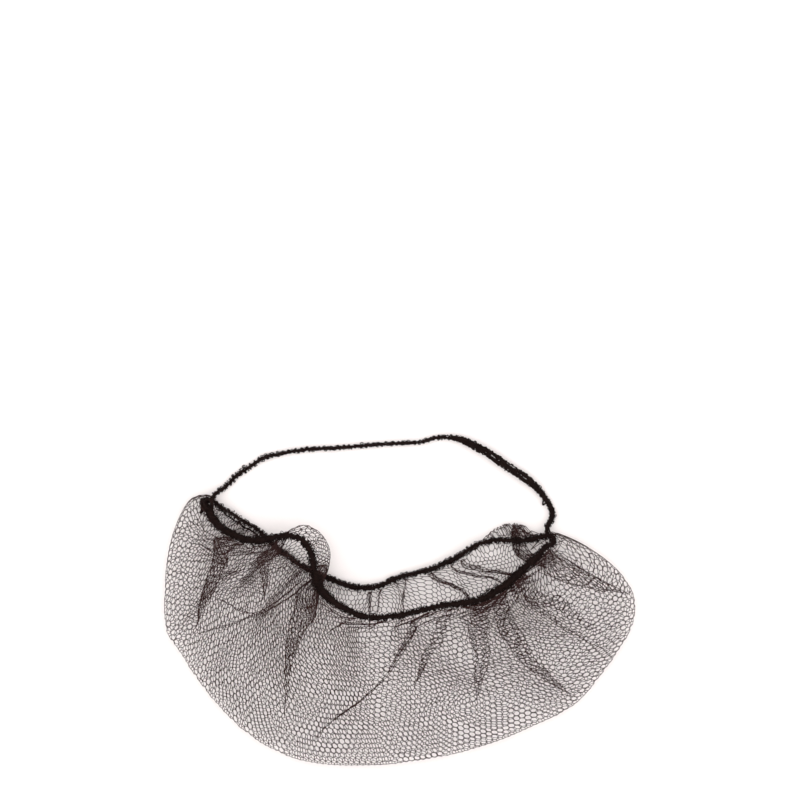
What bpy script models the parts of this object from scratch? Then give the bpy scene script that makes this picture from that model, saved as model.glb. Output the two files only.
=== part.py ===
"""Honeycomb-net beard cover, lying mouth side up on a flat surface.

The cover is a soft net bag, a gathered elastic edge round its mouth and one elastic
headband that joins the two ends of the mouth. Metres, +Z up, +X to the wearer's left,
-Y towards the chin fold, origin on the surface below the middle of the whole thing.
"""
import bpy
import numpy as np
from mathutils import Vector

# Driving sizes of the net bag
POUCH_WIDTH = 0.2585
POUCH_DEPTH = 0.1470
POUCH_HEIGHT = 0.0200
NET_WALL = 0.0010
FOLD_ROLL = 0.0075
GATHER_DEPTH = 0.0012
GATHER_REACH = 0.0180
GATHER_STARTS = 0.0040
CREASE_HEIGHT = 0.0030
RUFFLE_REACH = 0.0085
GAP_SHARE = 0.80

# Driving sizes of the elastic pieces
EDGE_THICKNESS = 0.0038
FRONT_EDGE_LIFT = 0.0150
END_LOOP_HOLE = 0.0014
BAND_THICKNESS = 0.0024
BAND_DOUBLED_THICKNESS = 0.0046
BAND_RISE = 0.0336
CLEARANCE = 0.0003

# Steps of the grid that the net bag is made of, and sides of the round pieces
LONG_STEPS = 62
FRONT_STEPS = 18
BACK_STEPS = 15
TURN_STEPS = 6
EDGE_SIDES = 8
BAND_STEPS = 48
GATHERS = 15

# Sections across the bag, from its left end to its right end. Across is a share of
# POUCH_WIDTH from the middle, up a share of POUCH_DEPTH from the chin fold, and lift a
# share of FRONT_EDGE_LIFT. One more section at each end is worked out from the end loops.
SECTIONS = [
    # fold across, fold up, front across, front up, front lift, back across, back up, back lift
    (-0.446, 0.978, -0.402, 0.946, 0.53, -0.388, 0.976, 0.12),
    (-0.466, 0.925, -0.397, 0.925, 0.54, -0.377, 0.961, 0.13),
    (-0.481, 0.869, -0.387, 0.903, 0.55, -0.363, 0.948, 0.13),
    (-0.492, 0.794, -0.372, 0.881, 0.57, -0.346, 0.929, 0.09),
    (-0.497, 0.719, -0.345, 0.857, 0.61, -0.324, 0.904, 0.03),
    (-0.499, 0.648, -0.313, 0.841, 0.66, -0.303, 0.884, 0.02),
    (-0.500, 0.573, -0.275, 0.850, 0.72, -0.284, 0.854, 0.02),
    (-0.493, 0.491, -0.240, 0.861, 0.78, -0.255, 0.804, 0.02),
    (-0.466, 0.423, -0.210, 0.848, 0.82, -0.236, 0.781, 0.02),
    (-0.433, 0.330, -0.189, 0.803, 0.84, -0.214, 0.753, 0.02),
    (-0.391, 0.236, -0.181, 0.738, 0.84, -0.193, 0.730, 0.02),
    (-0.329, 0.127, -0.168, 0.663, 0.86, -0.173, 0.713, 0.02),
    (-0.252, 0.045, -0.125, 0.598, 0.92, -0.149, 0.699, 0.02),
    (-0.178, 0.009, -0.070, 0.560, 0.98, -0.123, 0.681, 0.02),
    (-0.101, 0.000, -0.002, 0.564, 1.00, -0.094, 0.667, 0.02),
    (-0.010, 0.007, 0.068, 0.594, 1.00, -0.050, 0.668, 0.02),
    (0.086, 0.032, 0.134, 0.611, 0.98, 0.002, 0.706, 0.02),
    (0.192, 0.082, 0.178, 0.627, 0.95, 0.063, 0.732, 0.06),
    (0.290, 0.154, 0.203, 0.654, 0.92, 0.117, 0.773, 0.11),
    (0.371, 0.228, 0.222, 0.674, 0.88, 0.160, 0.822, 0.15),
    (0.435, 0.356, 0.249, 0.715, 0.84, 0.196, 0.841, 0.18),
    (0.490, 0.506, 0.271, 0.751, 0.78, 0.229, 0.841, 0.19),
    (0.499, 0.620, 0.284, 0.772, 0.72, 0.257, 0.840, 0.19),
    (0.472, 0.712, 0.294, 0.788, 0.66, 0.279, 0.845, 0.18),
    (0.428, 0.785, 0.300, 0.801, 0.60, 0.290, 0.850, 0.17),
    (0.368, 0.855, 0.306, 0.815, 0.54, 0.300, 0.856, 0.14),
]

# End loops of the mouth edge. The heading is the way the loop points, in degrees from
# +X, and the tip is how far the front run of the edge lies over the back run.
END_LOOPS = [
    # across, up, heading, tip
    (-0.404, 0.976, 150.0, 40.0),
    (0.3153, 0.842, 4.0, 40.0),
]

# Creases of the front net. The ends are shares of POUCH_WIDTH and POUCH_DEPTH, the half
# width is a share of POUCH_WIDTH and the height a share of CREASE_HEIGHT.
CREASES = [
    # start across, start up, end across, end up, half width, height
    (-0.382, 0.868, -0.434, 0.560, 0.030, 0.9),
    (-0.291, 0.820, -0.306, 0.648, 0.022, 0.6),
    (-0.193, 0.685, -0.440, 0.498, 0.022, 1.0),
    (-0.199, 0.685, -0.242, 0.240, 0.034, -1.0),
    (-0.102, 0.560, -0.150, 0.500, 0.024, 0.5),
    (-0.048, 0.545, -0.048, 0.450, 0.020, 0.6),
    (0.043, 0.555, -0.075, 0.260, 0.020, 1.0),
    (-0.075, 0.260, -0.178, 0.112, 0.018, 0.6),
    (0.100, 0.566, 0.028, 0.300, 0.022, 0.8),
    (0.170, 0.590, 0.163, 0.262, 0.026, -1.0),
    (0.207, 0.610, 0.364, 0.262, 0.026, 1.0),
    (0.241, 0.670, 0.434, 0.434, 0.024, 0.8),
    (0.277, 0.665, 0.377, 0.550, 0.022, -0.8),
    (0.298, 0.750, 0.439, 0.648, 0.026, 0.9),
]

# Ruffles, where the net puffs out past the edge and turns back to it. The middle and
# the half width are shares of the way from the left end of the mouth to the right end.
FRONT_RUFFLE = (0.370, 0.120, 0.85)
BACK_RUFFLE = (0.840, 0.130, 0.80)

# Route of the headband between its two feet, left to right. Up is a share of BAND_RISE
# above the left end of the bag, and doubled tells how much of the second run is there.
BAND_ROUTE = [
    # across, up, doubled
    (-0.372, 0.17, 0.0),
    (-0.344, 0.38, 0.0),
    (-0.320, 0.50, 0.0),
    (-0.293, 0.64, 0.0),
    (-0.255, 0.72, 0.0),
    (-0.197, 0.79, 0.0),
    (-0.127, 0.82, 0.0),
    (-0.034, 0.88, 0.0),
    (0.040, 0.91, 0.0),
    (0.080, 0.985, 0.0),
    (0.118, 0.975, 0.4),
    (0.153, 0.875, 0.9),
    (0.192, 0.71, 1.0),
    (0.229, 0.51, 1.0),
    (0.262, 0.35, 1.0),
    (0.291, 0.165, 0.7),
    (0.312, -0.04, 0.1),
    (0.324, -0.20, 0.0),
    (0.3235, -0.33, 0.0),
]

EDGE_RADIUS = EDGE_THICKNESS / 2
SEAT = EDGE_RADIUS + CLEARANCE
LOOP_RADIUS = EDGE_RADIUS + END_LOOP_HOLE
FOLD_MIDDLE = (NET_WALL + FOLD_ROLL) / 2
ROWS = len(SECTIONS) + 1

# How the net is led. Rows count the sections from either end of the bag, shares count
# the way from the mouth edge to the chin fold.
WRAP_ROWS = 3.0
WRAP_SPREAD = 0.0040
END_TURN_ROWS = 3.5
END_TURN = 0.75
END_DROP_ROWS = 0.8
ROLL_STARTS = 0.86
SWELL = 4.6
SWELL_FALL = 1.4
FREE_AT_MOST = 0.30
FREE_REACH = 0.8
FREE_REACH_TURNED = 0.6
TURN_RISE = 1.45
SLACK = 1.6 * NET_WALL
STANDS_OFF = 0.7 * NET_WALL
FRONT_CROWDING = 0.11
BACK_CROWDING = 0.09
GAP_NARROWS = 0.32 * GAP_SHARE
GAP_WIDENS = 0.30 * GAP_SHARE


def smooth_step(value):
    """Ease from 0 to 1."""
    value = np.clip(value, 0.0, 1.0)
    return value * value * (3 - 2 * value)


def unit(vectors):
    """Vectors of length one."""
    return vectors / np.maximum(np.linalg.norm(vectors, axis=-1, keepdims=True), 1e-9)


def smooth_rows(rows, places):
    """Values on a smooth curve through the rows of a table, at places counted in rows."""
    rows = np.asarray(rows, dtype=float)
    padded = np.vstack([2 * rows[0] - rows[1], rows, 2 * rows[-1] - rows[-2]])
    places = np.clip(np.asarray(places, dtype=float), 0, len(rows) - 1)
    first = np.minimum(places.astype(int), len(rows) - 2)
    u = (places - first)[:, None]
    p0, p1, p2, p3 = (padded[first + k] for k in range(4))
    bend = 2 * p0 - 5 * p1 + 4 * p2 - p3
    twist = 3 * p1 - p0 - 3 * p2 + p3
    return p1 + 0.5 * u * (p2 - p0 + u * (bend + u * twist))


def end_loop(number):
    """Centre, outward way and way to the front run of one end loop of the mouth edge."""
    across, up, heading, tip = END_LOOPS[number]
    heading, tip = np.radians([heading, tip])
    outward = np.array([np.cos(heading), np.sin(heading), 0.0])
    side = 1.0 if number == 0 else -1.0
    level = side * np.array([-np.sin(heading), np.cos(heading), 0.0])
    to_front = level * np.cos(tip) + np.array([0.0, 0.0, np.sin(tip)])
    low = LOOP_RADIUS * np.sin(tip) + NET_WALL + SEAT + CLEARANCE
    centre = np.array([across * POUCH_WIDTH, up * POUCH_DEPTH, low])
    return centre, outward, to_front


def section_points():
    """The fold, front edge and back edge of every section, as arrays of points."""
    table = np.array(SECTIONS)
    across, up, lift = POUCH_WIDTH, POUCH_DEPTH, FRONT_EDGE_LIFT
    fold_height = np.full(len(table), FOLD_MIDDLE)
    fold = np.column_stack([table[:, 0] * across, table[:, 1] * up, fold_height])
    front = np.column_stack([table[:, 2] * across, table[:, 3] * up, table[:, 4] * lift])
    back = np.column_stack([table[:, 5] * across, table[:, 6] * up, table[:, 7] * lift])
    back[:, 2] += EDGE_RADIUS
    for number in (0, 1):
        centre, outward, to_front = end_loop(number)
        row = number * len(fold)
        fold = np.insert(fold, row, centre + outward * (LOOP_RADIUS + SEAT), axis=0)
        front = np.insert(front, row, centre + to_front * LOOP_RADIUS, axis=0)
        back = np.insert(back, row, centre - to_front * LOOP_RADIUS, axis=0)
    return fold, front, back


def ruffle_at(ruffle, places):
    """Reach of a ruffle past the edge, and how far its net has turned round the edge."""
    middle, half, reach = ruffle
    offset = np.clip((places / ROWS - middle) / half, -1, 1)
    swell = np.cos(offset * np.pi / 2) ** 2
    return RUFFLE_REACH * reach * swell, np.minimum((1 - np.abs(offset)) * TURN_RISE, 1)


def end_turn(places):
    """How far the back net has turned below the edge beside the end loops."""
    distance = np.minimum(places, ROWS - places)
    return END_TURN * (1 - smooth_step(distance / END_TURN_ROWS))


def edge_outward(edge, away_from):
    """Level way across an edge that leads out of the bag, at each of its points."""
    along = np.gradient(edge, axis=0)
    across = unit(np.column_stack([-along[:, 1], along[:, 0], np.zeros(len(edge))]))
    return across * np.sign(np.sum(across * (edge - away_from), axis=1))[:, None]


def layer_height(share, edge_height, upper):
    """Height of a layer of net, by its share of the way from the edge to the fold."""
    roll = np.clip((share - ROLL_STARTS) / (1 - ROLL_STARTS), 0, 1)
    rounding = np.sqrt(np.maximum(1 - roll ** 2, 0))
    if not upper:
        return FOLD_MIDDLE - (FOLD_MIDDLE - NET_WALL / 2) * rounding
    level = edge_height * (1 - share) + FOLD_ROLL * share
    swell = max(POUCH_HEIGHT - FRONT_EDGE_LIFT, 0) * SWELL * share * (1 - share) ** SWELL_FALL
    return FOLD_MIDDLE + (level + swell - FOLD_MIDDLE) * rounding


def crease_height(points):
    """Height that the creases add to the front net at points in plan."""
    total = np.zeros(points.shape[:-1])
    for x0, y0, x1, y1, half, height in CREASES:
        start = np.array([x0 * POUCH_WIDTH, y0 * POUCH_DEPTH])
        line = np.array([x1 * POUCH_WIDTH, y1 * POUCH_DEPTH]) - start
        offset = points[..., :2] - start
        along = offset @ line / (line @ line)
        side = (offset @ np.array([-line[1], line[0]])) / np.linalg.norm(line)
        taper = smooth_step((along + 0.12) / 0.2) * smooth_step((1.15 - along) / 0.5)
        total += height * taper * np.exp(-(side / (half * POUCH_WIDTH)) ** 2)
    return CREASE_HEIGHT * total


def layer(places, shares, upper):
    """Points of one layer of net, from the mouth edge (share 0) to the fold (share 1).

    Beside the edge the net unwinds from its seat: it starts on the inner side of the
    edge, or in a ruffle on the outer side, and goes below the edge into the bag.
    """
    fold, front, back = section_points()
    edge = smooth_rows(front if upper else back, places)
    fold = smooth_rows(fold, places)
    outward = edge_outward(edge, fold)
    reach, turn = ruffle_at(FRONT_RUFFLE if upper else BACK_RUFFLE, places)
    if not upper:
        turn = np.maximum(turn, end_turn(places))
    inward = fold - edge
    inward[:, 2] = 0
    width = np.linalg.norm(inward, axis=1)
    inward = inward / width[:, None]
    free = np.minimum(FREE_AT_MOST, GATHER_REACH * (FREE_REACH + FREE_REACH_TURNED * turn) / width)
    rise = layer_height(free, edge[:, 2], upper) - edge[:, 2]
    knot_angle = np.arctan2(rise, width * free)
    knot_radius = np.hypot(rise, width * free)

    rows = []
    for share in shares:
        run = edge + inward * (width * share)[:, None]
        run[:, 2] = layer_height(np.full(len(edge), share), edge[:, 2], upper)
        unwound = np.clip(share / free, 0, 1)
        swing = smooth_step(unwound / 0.8)
        angle = -np.pi * turn * (1 - swing) + knot_angle * swing
        slack = SLACK * np.sin(np.pi * turn / 2) * smooth_step(unwound * 6)
        grow = np.maximum(unwound, 0) ** (1 + 1.2 * turn)
        radius = SEAT + slack * (1 - unwound) + (knot_radius - SEAT) * grow
        axis = unit(inward * unwound[:, None] - outward * (1 - unwound)[:, None])
        puff = reach * np.sin(np.pi * np.clip(unwound / 0.6, 0, 1))
        wound = edge + axis * (radius * np.cos(angle))[:, None] + outward * puff[:, None]
        wound[:, 2] += radius * np.sin(angle)
        if not upper:
            wound[:, 2] = np.maximum(wound[:, 2], NET_WALL / 2)
        rows.append(np.where((share < free)[:, None], wound, run))
    return np.array(rows).transpose(1, 0, 2)


def gather_height(places, shares, span):
    """Small ripples that the elastic draws up beside the edge."""
    ripple = np.sin(places / ROWS * GATHERS * 2 * np.pi)[:, None]
    near = shares[None, :] * span
    fade = np.exp(-(near / GATHER_REACH) ** 2) * smooth_step(near / GATHER_STARTS)
    return GATHER_DEPTH * ripple * fade


def shares_along(steps, crowding):
    """Shares of the way to the fold, closer together beside the edge and the fold."""
    even = np.linspace(0, 1, steps + 1)
    return even - crowding * np.sin(2 * np.pi * even)


def middle_surface():
    """Grid of points midway through the net: front edge, fold, back edge."""
    places = np.linspace(0, ROWS, LONG_STEPS + 1)
    grids = []
    for steps, upper in ((FRONT_STEPS, True), (BACK_STEPS, False)):
        shares = shares_along(steps, FRONT_CROWDING if upper else BACK_CROWDING)
        grid = layer(places, shares, upper)
        span = np.linalg.norm(grid[:, -1] - grid[:, 0], axis=1, keepdims=True)
        if upper:
            keep = smooth_step((1 - shares) / 0.2)[None, :] * smooth_step(shares / 0.06)[None, :]
            ends = np.minimum(places, ROWS - places)[:, None]
            keep = keep * smooth_step((ends - 1.0) / 3)
            grid[..., 2] += crease_height(grid) * keep
            grid[..., 2] += gather_height(places, shares, span) * smooth_step(ends / 4)
        grids.append(grid)
    front, back = grids
    grid = np.concatenate([front, back[:, -2::-1]], axis=1)
    grid = clear_of_edge(wrap_ends(grid, places))
    return seat_on_edge(grid, places)


def wrap_ends(grid, places):
    """Bend the first and last sections round the end loops of the mouth edge."""
    rows = grid.shape[1] - 1
    turn = np.linspace(0, 1, rows + 1)
    turn = np.pi * np.interp(turn, [0, FRONT_STEPS / rows, 1], [0, 0.5, 1])
    for number, distance in ((0, places), (1, ROWS - places)):
        centre, outward, to_front = end_loop(number)
        hug = 1 - smooth_step(distance / WRAP_ROWS)[:, None, None]
        hug = np.repeat(np.repeat(hug, rows + 1, axis=1), 3, axis=2)
        hug[:, FRONT_STEPS:, 2] = 1 - smooth_step(distance / END_DROP_ROWS)[:, None]
        reach = LOOP_RADIUS + SEAT + distance[:, None, None] * WRAP_SPREAD
        drop = smooth_step(distance / END_DROP_ROWS)[:, None, None]
        clear = LOOP_RADIUS + SEAT + drop * NET_WALL
        wrapped = (centre + to_front * np.cos(turn)[:, None] * clear
                   + outward * np.sin(turn)[:, None] * reach)
        grid = grid * (1 - hug) + wrapped * hug
    return grid


def edge_path(places):
    """Middle line of the mouth edge, once round: front run, end loop, back run, end loop."""
    _, front, back = section_points()
    return np.concatenate([
        smooth_rows(front, places),
        loop_turn(1, True),
        smooth_rows(back, places)[::-1],
        loop_turn(0, False),
    ])


def clear_of_edge(grid):
    """Push the net that lies beside the mouth edge out to a wall's width from its seat."""
    path = edge_path(np.linspace(0, ROWS, LONG_STEPS * 4 + 1))
    points = grid.reshape(-1, 3)
    offsets = points[:, None] - path[None]
    distances = np.linalg.norm(offsets, axis=2)
    nearest = distances.argmin(axis=1)
    every = np.arange(len(points))
    way = unit(offsets[every, nearest])
    short = np.maximum(SEAT + STANDS_OFF - distances[every, nearest], 0)
    pushed = points + way * short[:, None]
    pushed[:, 2] = np.maximum(pushed[:, 2], NET_WALL / 2)
    return pushed.reshape(grid.shape)


def borders(places, rows):
    """Each border of the grid, the row beside it and the middle line of the edge there."""
    _, front, back = section_points()
    turn = np.pi * np.interp(np.linspace(0, 1, rows + 1), [0, FRONT_STEPS / rows, 1], [0, 0.5, 1])
    found = [(np.s_[:, 0], np.s_[:, 1], smooth_rows(front, places)),
             (np.s_[:, -1], np.s_[:, -2], smooth_rows(back, places))]
    for number, border, beside in ((0, np.s_[0], np.s_[1]), (1, np.s_[-1], np.s_[-2])):
        centre, outward, to_front = end_loop(number)
        arc = to_front * np.cos(turn)[:, None] + outward * np.sin(turn)[:, None]
        found.append((border, beside, centre + LOOP_RADIUS * arc))
    return found


def seat_on_edge(grid, places):
    """Move the rim of the net square to the mouth edge, one clearance away from it."""
    for border, beside, edge in borders(places, grid.shape[1] - 1):
        along = unit(np.gradient(edge, axis=0))
        way = grid[beside] - edge
        way = way - along * np.sum(way * along, axis=-1, keepdims=True)
        grid[border] = edge + unit(way) * SEAT
    return grid


def rim_normals(grid, normals, places):
    """Normals whose rim stands square to the mouth edge."""
    for border, _, edge in borders(places, grid.shape[1] - 1):
        square = unit(np.cross(grid[border] - edge, np.gradient(edge, axis=0)))
        normals[border] = square * np.sign(np.sum(square * normals[border]))
    return normals


def gap_quads():
    """Quads of the grid that are left out, two by two in staggered rows.

    The rows beside the edge stay whole in the ruffles, and one gap stays shut below the
    middle of the bag, where it rests.
    """
    gaps = []
    first_rows = list(range(2, FRONT_STEPS - 2, 4))
    first_rows += list(range(FRONT_STEPS + 2, FRONT_STEPS + BACK_STEPS - 3, 4))
    for number, row in enumerate(first_rows):
        ruffle = {0: FRONT_RUFFLE, len(first_rows) - 1: BACK_RUFFLE}.get(number)
        for column in range(4 + 2 * (number % 2), LONG_STEPS - 5, 4):
            place = (column + 1) / LONG_STEPS
            in_ruffle = ruffle is not None and abs(place - ruffle[0]) < ruffle[1]
            rests_here = number == len(first_rows) - 2 and abs(place - 0.5) < 2 / LONG_STEPS
            if not in_ruffle and not rests_here:
                gaps.append((column, row))
    return gaps


def shape_gaps(grid, gaps):
    """Draw the rim of each square gap into a six-sided cell."""
    shaped = grid.copy()
    for column, row in gaps:
        centre = grid[column + 1, row + 1]
        for i, j in ((0, 0), (2, 0), (0, 2), (2, 2)):
            point = grid[column + i, row + j]
            beside = grid[column + 1, row + j]
            shaped[column + i, row + j] = point + (beside - point) * GAP_NARROWS
        for i in (0, 2):
            point = grid[column + i, row + 1]
            shaped[column + i, row + 1] = point + (point - centre) * GAP_WIDENS
    return shaped


def surface_normals(grid):
    """Outward unit normals of the grid."""
    along = np.gradient(grid, axis=0)
    across = np.gradient(grid, axis=1)
    return unit(np.cross(across, along))


def material(name, colour, roughness):
    """Plain Principled material with one colour."""
    made = bpy.data.materials.new(name)
    made.use_nodes = True
    shader = made.node_tree.nodes["Principled BSDF"]
    shader.inputs["Base Color"].default_value = (*colour, 1.0)
    shader.inputs["Roughness"].default_value = roughness
    shader.inputs["Metallic"].default_value = 0.0
    made.diffuse_color = (*colour, 1.0)
    return made


def add_object(name, vertices, faces, look, smooth=True):
    """New mesh object from its corners and faces."""
    mesh = bpy.data.meshes.new(name)
    mesh.from_pydata([tuple(map(float, vertex)) for vertex in vertices], [], faces)
    mesh.materials.append(look)
    if smooth:
        mesh.shade_smooth()
    made = bpy.data.objects.new(name, mesh)
    bpy.context.scene.collection.objects.link(made)
    return made


def make_net_pouch():
    """Hollow bag of net: two faces of the grid, walls round the mouth and every gap."""
    gaps = gap_quads()
    grid = shape_gaps(middle_surface(), gaps)
    places = np.linspace(0, ROWS, LONG_STEPS + 1)
    normals = rim_normals(grid, surface_normals(grid), places)
    outer = grid + normals * NET_WALL / 2
    inner = grid - normals * NET_WALL / 2
    columns, rows = grid.shape[:2]
    open_quads = {(c + i, r + j) for c, r in gaps for i in (0, 1) for j in (0, 1)}

    def number(i, j, inside):
        return (i * rows + j) + (columns * rows if inside else 0)

    faces = []
    walls = {}
    for i in range(columns - 1):
        for j in range(rows - 1):
            if (i, j) in open_quads:
                continue
            loop = [(i, j), (i, j + 1), (i + 1, j + 1), (i + 1, j)]
            faces.append([number(*corner, False) for corner in loop])
            faces.append([number(*corner, True) for corner in reversed(loop)])
            for start, end in zip(loop, loop[1:] + loop[:1]):
                if (end, start) in walls:
                    del walls[(end, start)]
                else:
                    walls[(start, end)] = True
    for start, end in walls:
        faces.append([number(*end, False), number(*start, False),
                      number(*start, True), number(*end, True)])

    used = sorted({corner for face in faces for corner in face})
    order = {old: new for new, old in enumerate(used)}
    corners = np.concatenate([outer.reshape(-1, 3), inner.reshape(-1, 3)])[used]
    faces = [[order[corner] for corner in face] for face in faces]
    look = material("dark_net", (0.060, 0.042, 0.040), 0.85)
    return add_object("net_pouch", corners, faces, look, smooth=False)


def tube(name, path, radii, sides, look, closed):
    """Round tube along a path, with flat ends unless it is closed."""
    path = np.asarray(path, dtype=float)
    if closed:
        along = unit(np.roll(path, -1, axis=0) - np.roll(path, 1, axis=0))
    else:
        along = unit(np.gradient(path, axis=0))
    up = np.array([0.0, 0.0, 1.0])
    across = unit(np.cross(along, up))
    rise = np.cross(across, along)
    turn = (np.arange(sides) + 0.5) / sides * 2 * np.pi
    ring = (across[:, None] * np.cos(turn)[None, :, None]
            + rise[:, None] * np.sin(turn)[None, :, None])
    corners = (path[:, None] + ring * np.asarray(radii, dtype=float)[:, None, None]).reshape(-1, 3)
    count = len(path)
    faces = []
    for i in range(count if closed else count - 1):
        near, far = i * sides, (i + 1) % count * sides
        for k in range(sides):
            after = (k + 1) % sides
            faces.append([near + k, far + k, far + after, near + after])
    if not closed:
        faces.append(list(range(sides)))
        faces.append([(count - 1) * sides + k for k in range(sides)][::-1])
    return add_object(name, corners, faces, look)


def loop_turn(number, from_front):
    """Points round one end loop of the mouth edge, without its two ends."""
    centre, outward, to_front = end_loop(number)
    turn = np.linspace(0, np.pi, TURN_STEPS + 1)[1:-1, None]
    points = centre + LOOP_RADIUS * (to_front * np.cos(turn) + outward * np.sin(turn))
    return points if from_front else points[::-1]


def make_mouth_edge():
    """Closed elastic edge: the front run, the right end loop, the back run, the left one."""
    path = edge_path(np.linspace(0, ROWS, LONG_STEPS + 1))
    look = material("dark_elastic_edge", (0.018, 0.010, 0.009), 0.9)
    radii = np.full(len(path), EDGE_RADIUS)
    return tube("mouth_edge", path, radii, EDGE_SIDES, look, closed=True)


def make_headband():
    """Elastic headband, from the left end of the mouth over to the right end."""
    _, _, back = section_points()
    route = np.array(BAND_ROUTE)
    doubled = np.concatenate([[0, 0], route[:, 2], [0, 0]])
    radius = BAND_THICKNESS / 2
    top = POUCH_DEPTH
    points = np.column_stack([route[:, 0] * POUCH_WIDTH, top + route[:, 1] * BAND_RISE,
                              np.full(len(route), radius)])
    feet = []
    for row, number in ((0, 0), (-1, 1)):
        _, _, to_front = end_loop(number)
        way = unit(to_front * np.array([-1, -1, 0]))
        feet.append([back[row] + way * SEAT, back[row] + way * (SEAT + BAND_THICKNESS)])
    points = np.vstack([feet[0], points, feet[1][::-1]])
    places = np.linspace(0, len(points) - 1, BAND_STEPS + 1)
    values = smooth_rows(np.column_stack([points, doubled]), places)
    path = values[:, :3]
    doubled = np.clip(values[:, 3], 0, 1)
    radii = (BAND_THICKNESS + (BAND_DOUBLED_THICKNESS - BAND_THICKNESS) * doubled) / 2
    path[:, 2] = np.maximum(path[:, 2], radius) + (radii - radius)
    look = material("dark_elastic_band", (0.020, 0.012, 0.010), 0.85)
    return tube("headband", path, radii, EDGE_SIDES, look, closed=False)


def stand_on_origin(objects):
    """Hang the pieces on an empty that brings their lowest middle to the origin."""
    corners = np.array([vertex.co for piece in objects for vertex in piece.data.vertices])
    low, high = corners.min(axis=0), corners.max(axis=0)
    carrier = bpy.data.objects.new("beard_cover", None)
    carrier.location = Vector((-(low[0] + high[0]) / 2, -(low[1] + high[1]) / 2, -low[2]))
    bpy.context.scene.collection.objects.link(carrier)
    for piece in objects:
        piece.parent = carrier
    bpy.context.view_layer.update()


def main():
    for old in list(bpy.data.objects):
        bpy.data.objects.remove(old, do_unlink=True)
    stand_on_origin([make_net_pouch(), make_mouth_edge(), make_headband()])


main()
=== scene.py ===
"""Looks of a honeycomb-net beard cover that lies mouth side up on a pale surface.

The net is laid strand by strand on the same bag that the solids have. The elastic edge and
the headband are cores with yarn wound and looped round them. Metres, +Z up.
"""
import math

import bpy
import numpy as np
from bpy.props import FloatProperty, FloatVectorProperty, IntProperty, PointerProperty
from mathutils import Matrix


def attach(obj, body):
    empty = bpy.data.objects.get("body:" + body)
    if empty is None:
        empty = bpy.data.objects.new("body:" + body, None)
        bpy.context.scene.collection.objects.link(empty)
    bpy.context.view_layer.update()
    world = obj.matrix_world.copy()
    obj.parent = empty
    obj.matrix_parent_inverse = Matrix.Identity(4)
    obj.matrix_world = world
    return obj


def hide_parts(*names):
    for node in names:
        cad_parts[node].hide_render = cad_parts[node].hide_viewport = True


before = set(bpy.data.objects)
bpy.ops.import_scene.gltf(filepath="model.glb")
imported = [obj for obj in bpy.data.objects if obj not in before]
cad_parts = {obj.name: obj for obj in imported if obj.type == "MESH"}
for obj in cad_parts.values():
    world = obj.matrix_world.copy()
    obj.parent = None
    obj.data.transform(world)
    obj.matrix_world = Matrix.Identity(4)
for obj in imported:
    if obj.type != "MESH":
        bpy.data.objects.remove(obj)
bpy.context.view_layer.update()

bl_info = {
    "name": "Honeycomb-net beard cover",
    "version": (1, 0, 0),
    "blender": (4, 5, 0),
    "location": "3D View > Sidebar > Beard cover",
    "description": "Builds the net, the elastic edge and the headband of a beard cover",
    "category": "Object",
}

# Sizes of the bag. They are the sizes of the solids, which the strands follow.
POUCH_WIDTH = 0.2585
POUCH_DEPTH = 0.1470
POUCH_HEIGHT = 0.0200
NET_WALL = 0.0010
FOLD_ROLL = 0.0075
GATHER_DEPTH = 0.0012
GATHER_REACH = 0.0180
RUFFLE_REACH = 0.0085
FRONT_EDGE_LIFT = 0.0150
EDGE_RADIUS = 0.0019
END_LOOP_HOLE = 0.0014
BAND_RADIUS = 0.0012
BAND_DOUBLED_RADIUS = 0.0023
BAND_RISE = 0.0336
CLEARANCE = 0.0003
GATHERS = 15
MIDDLE = np.array([-0.000023, -0.090562, 0.000005])
PHOTO_SCALE = 0.00055

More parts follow.
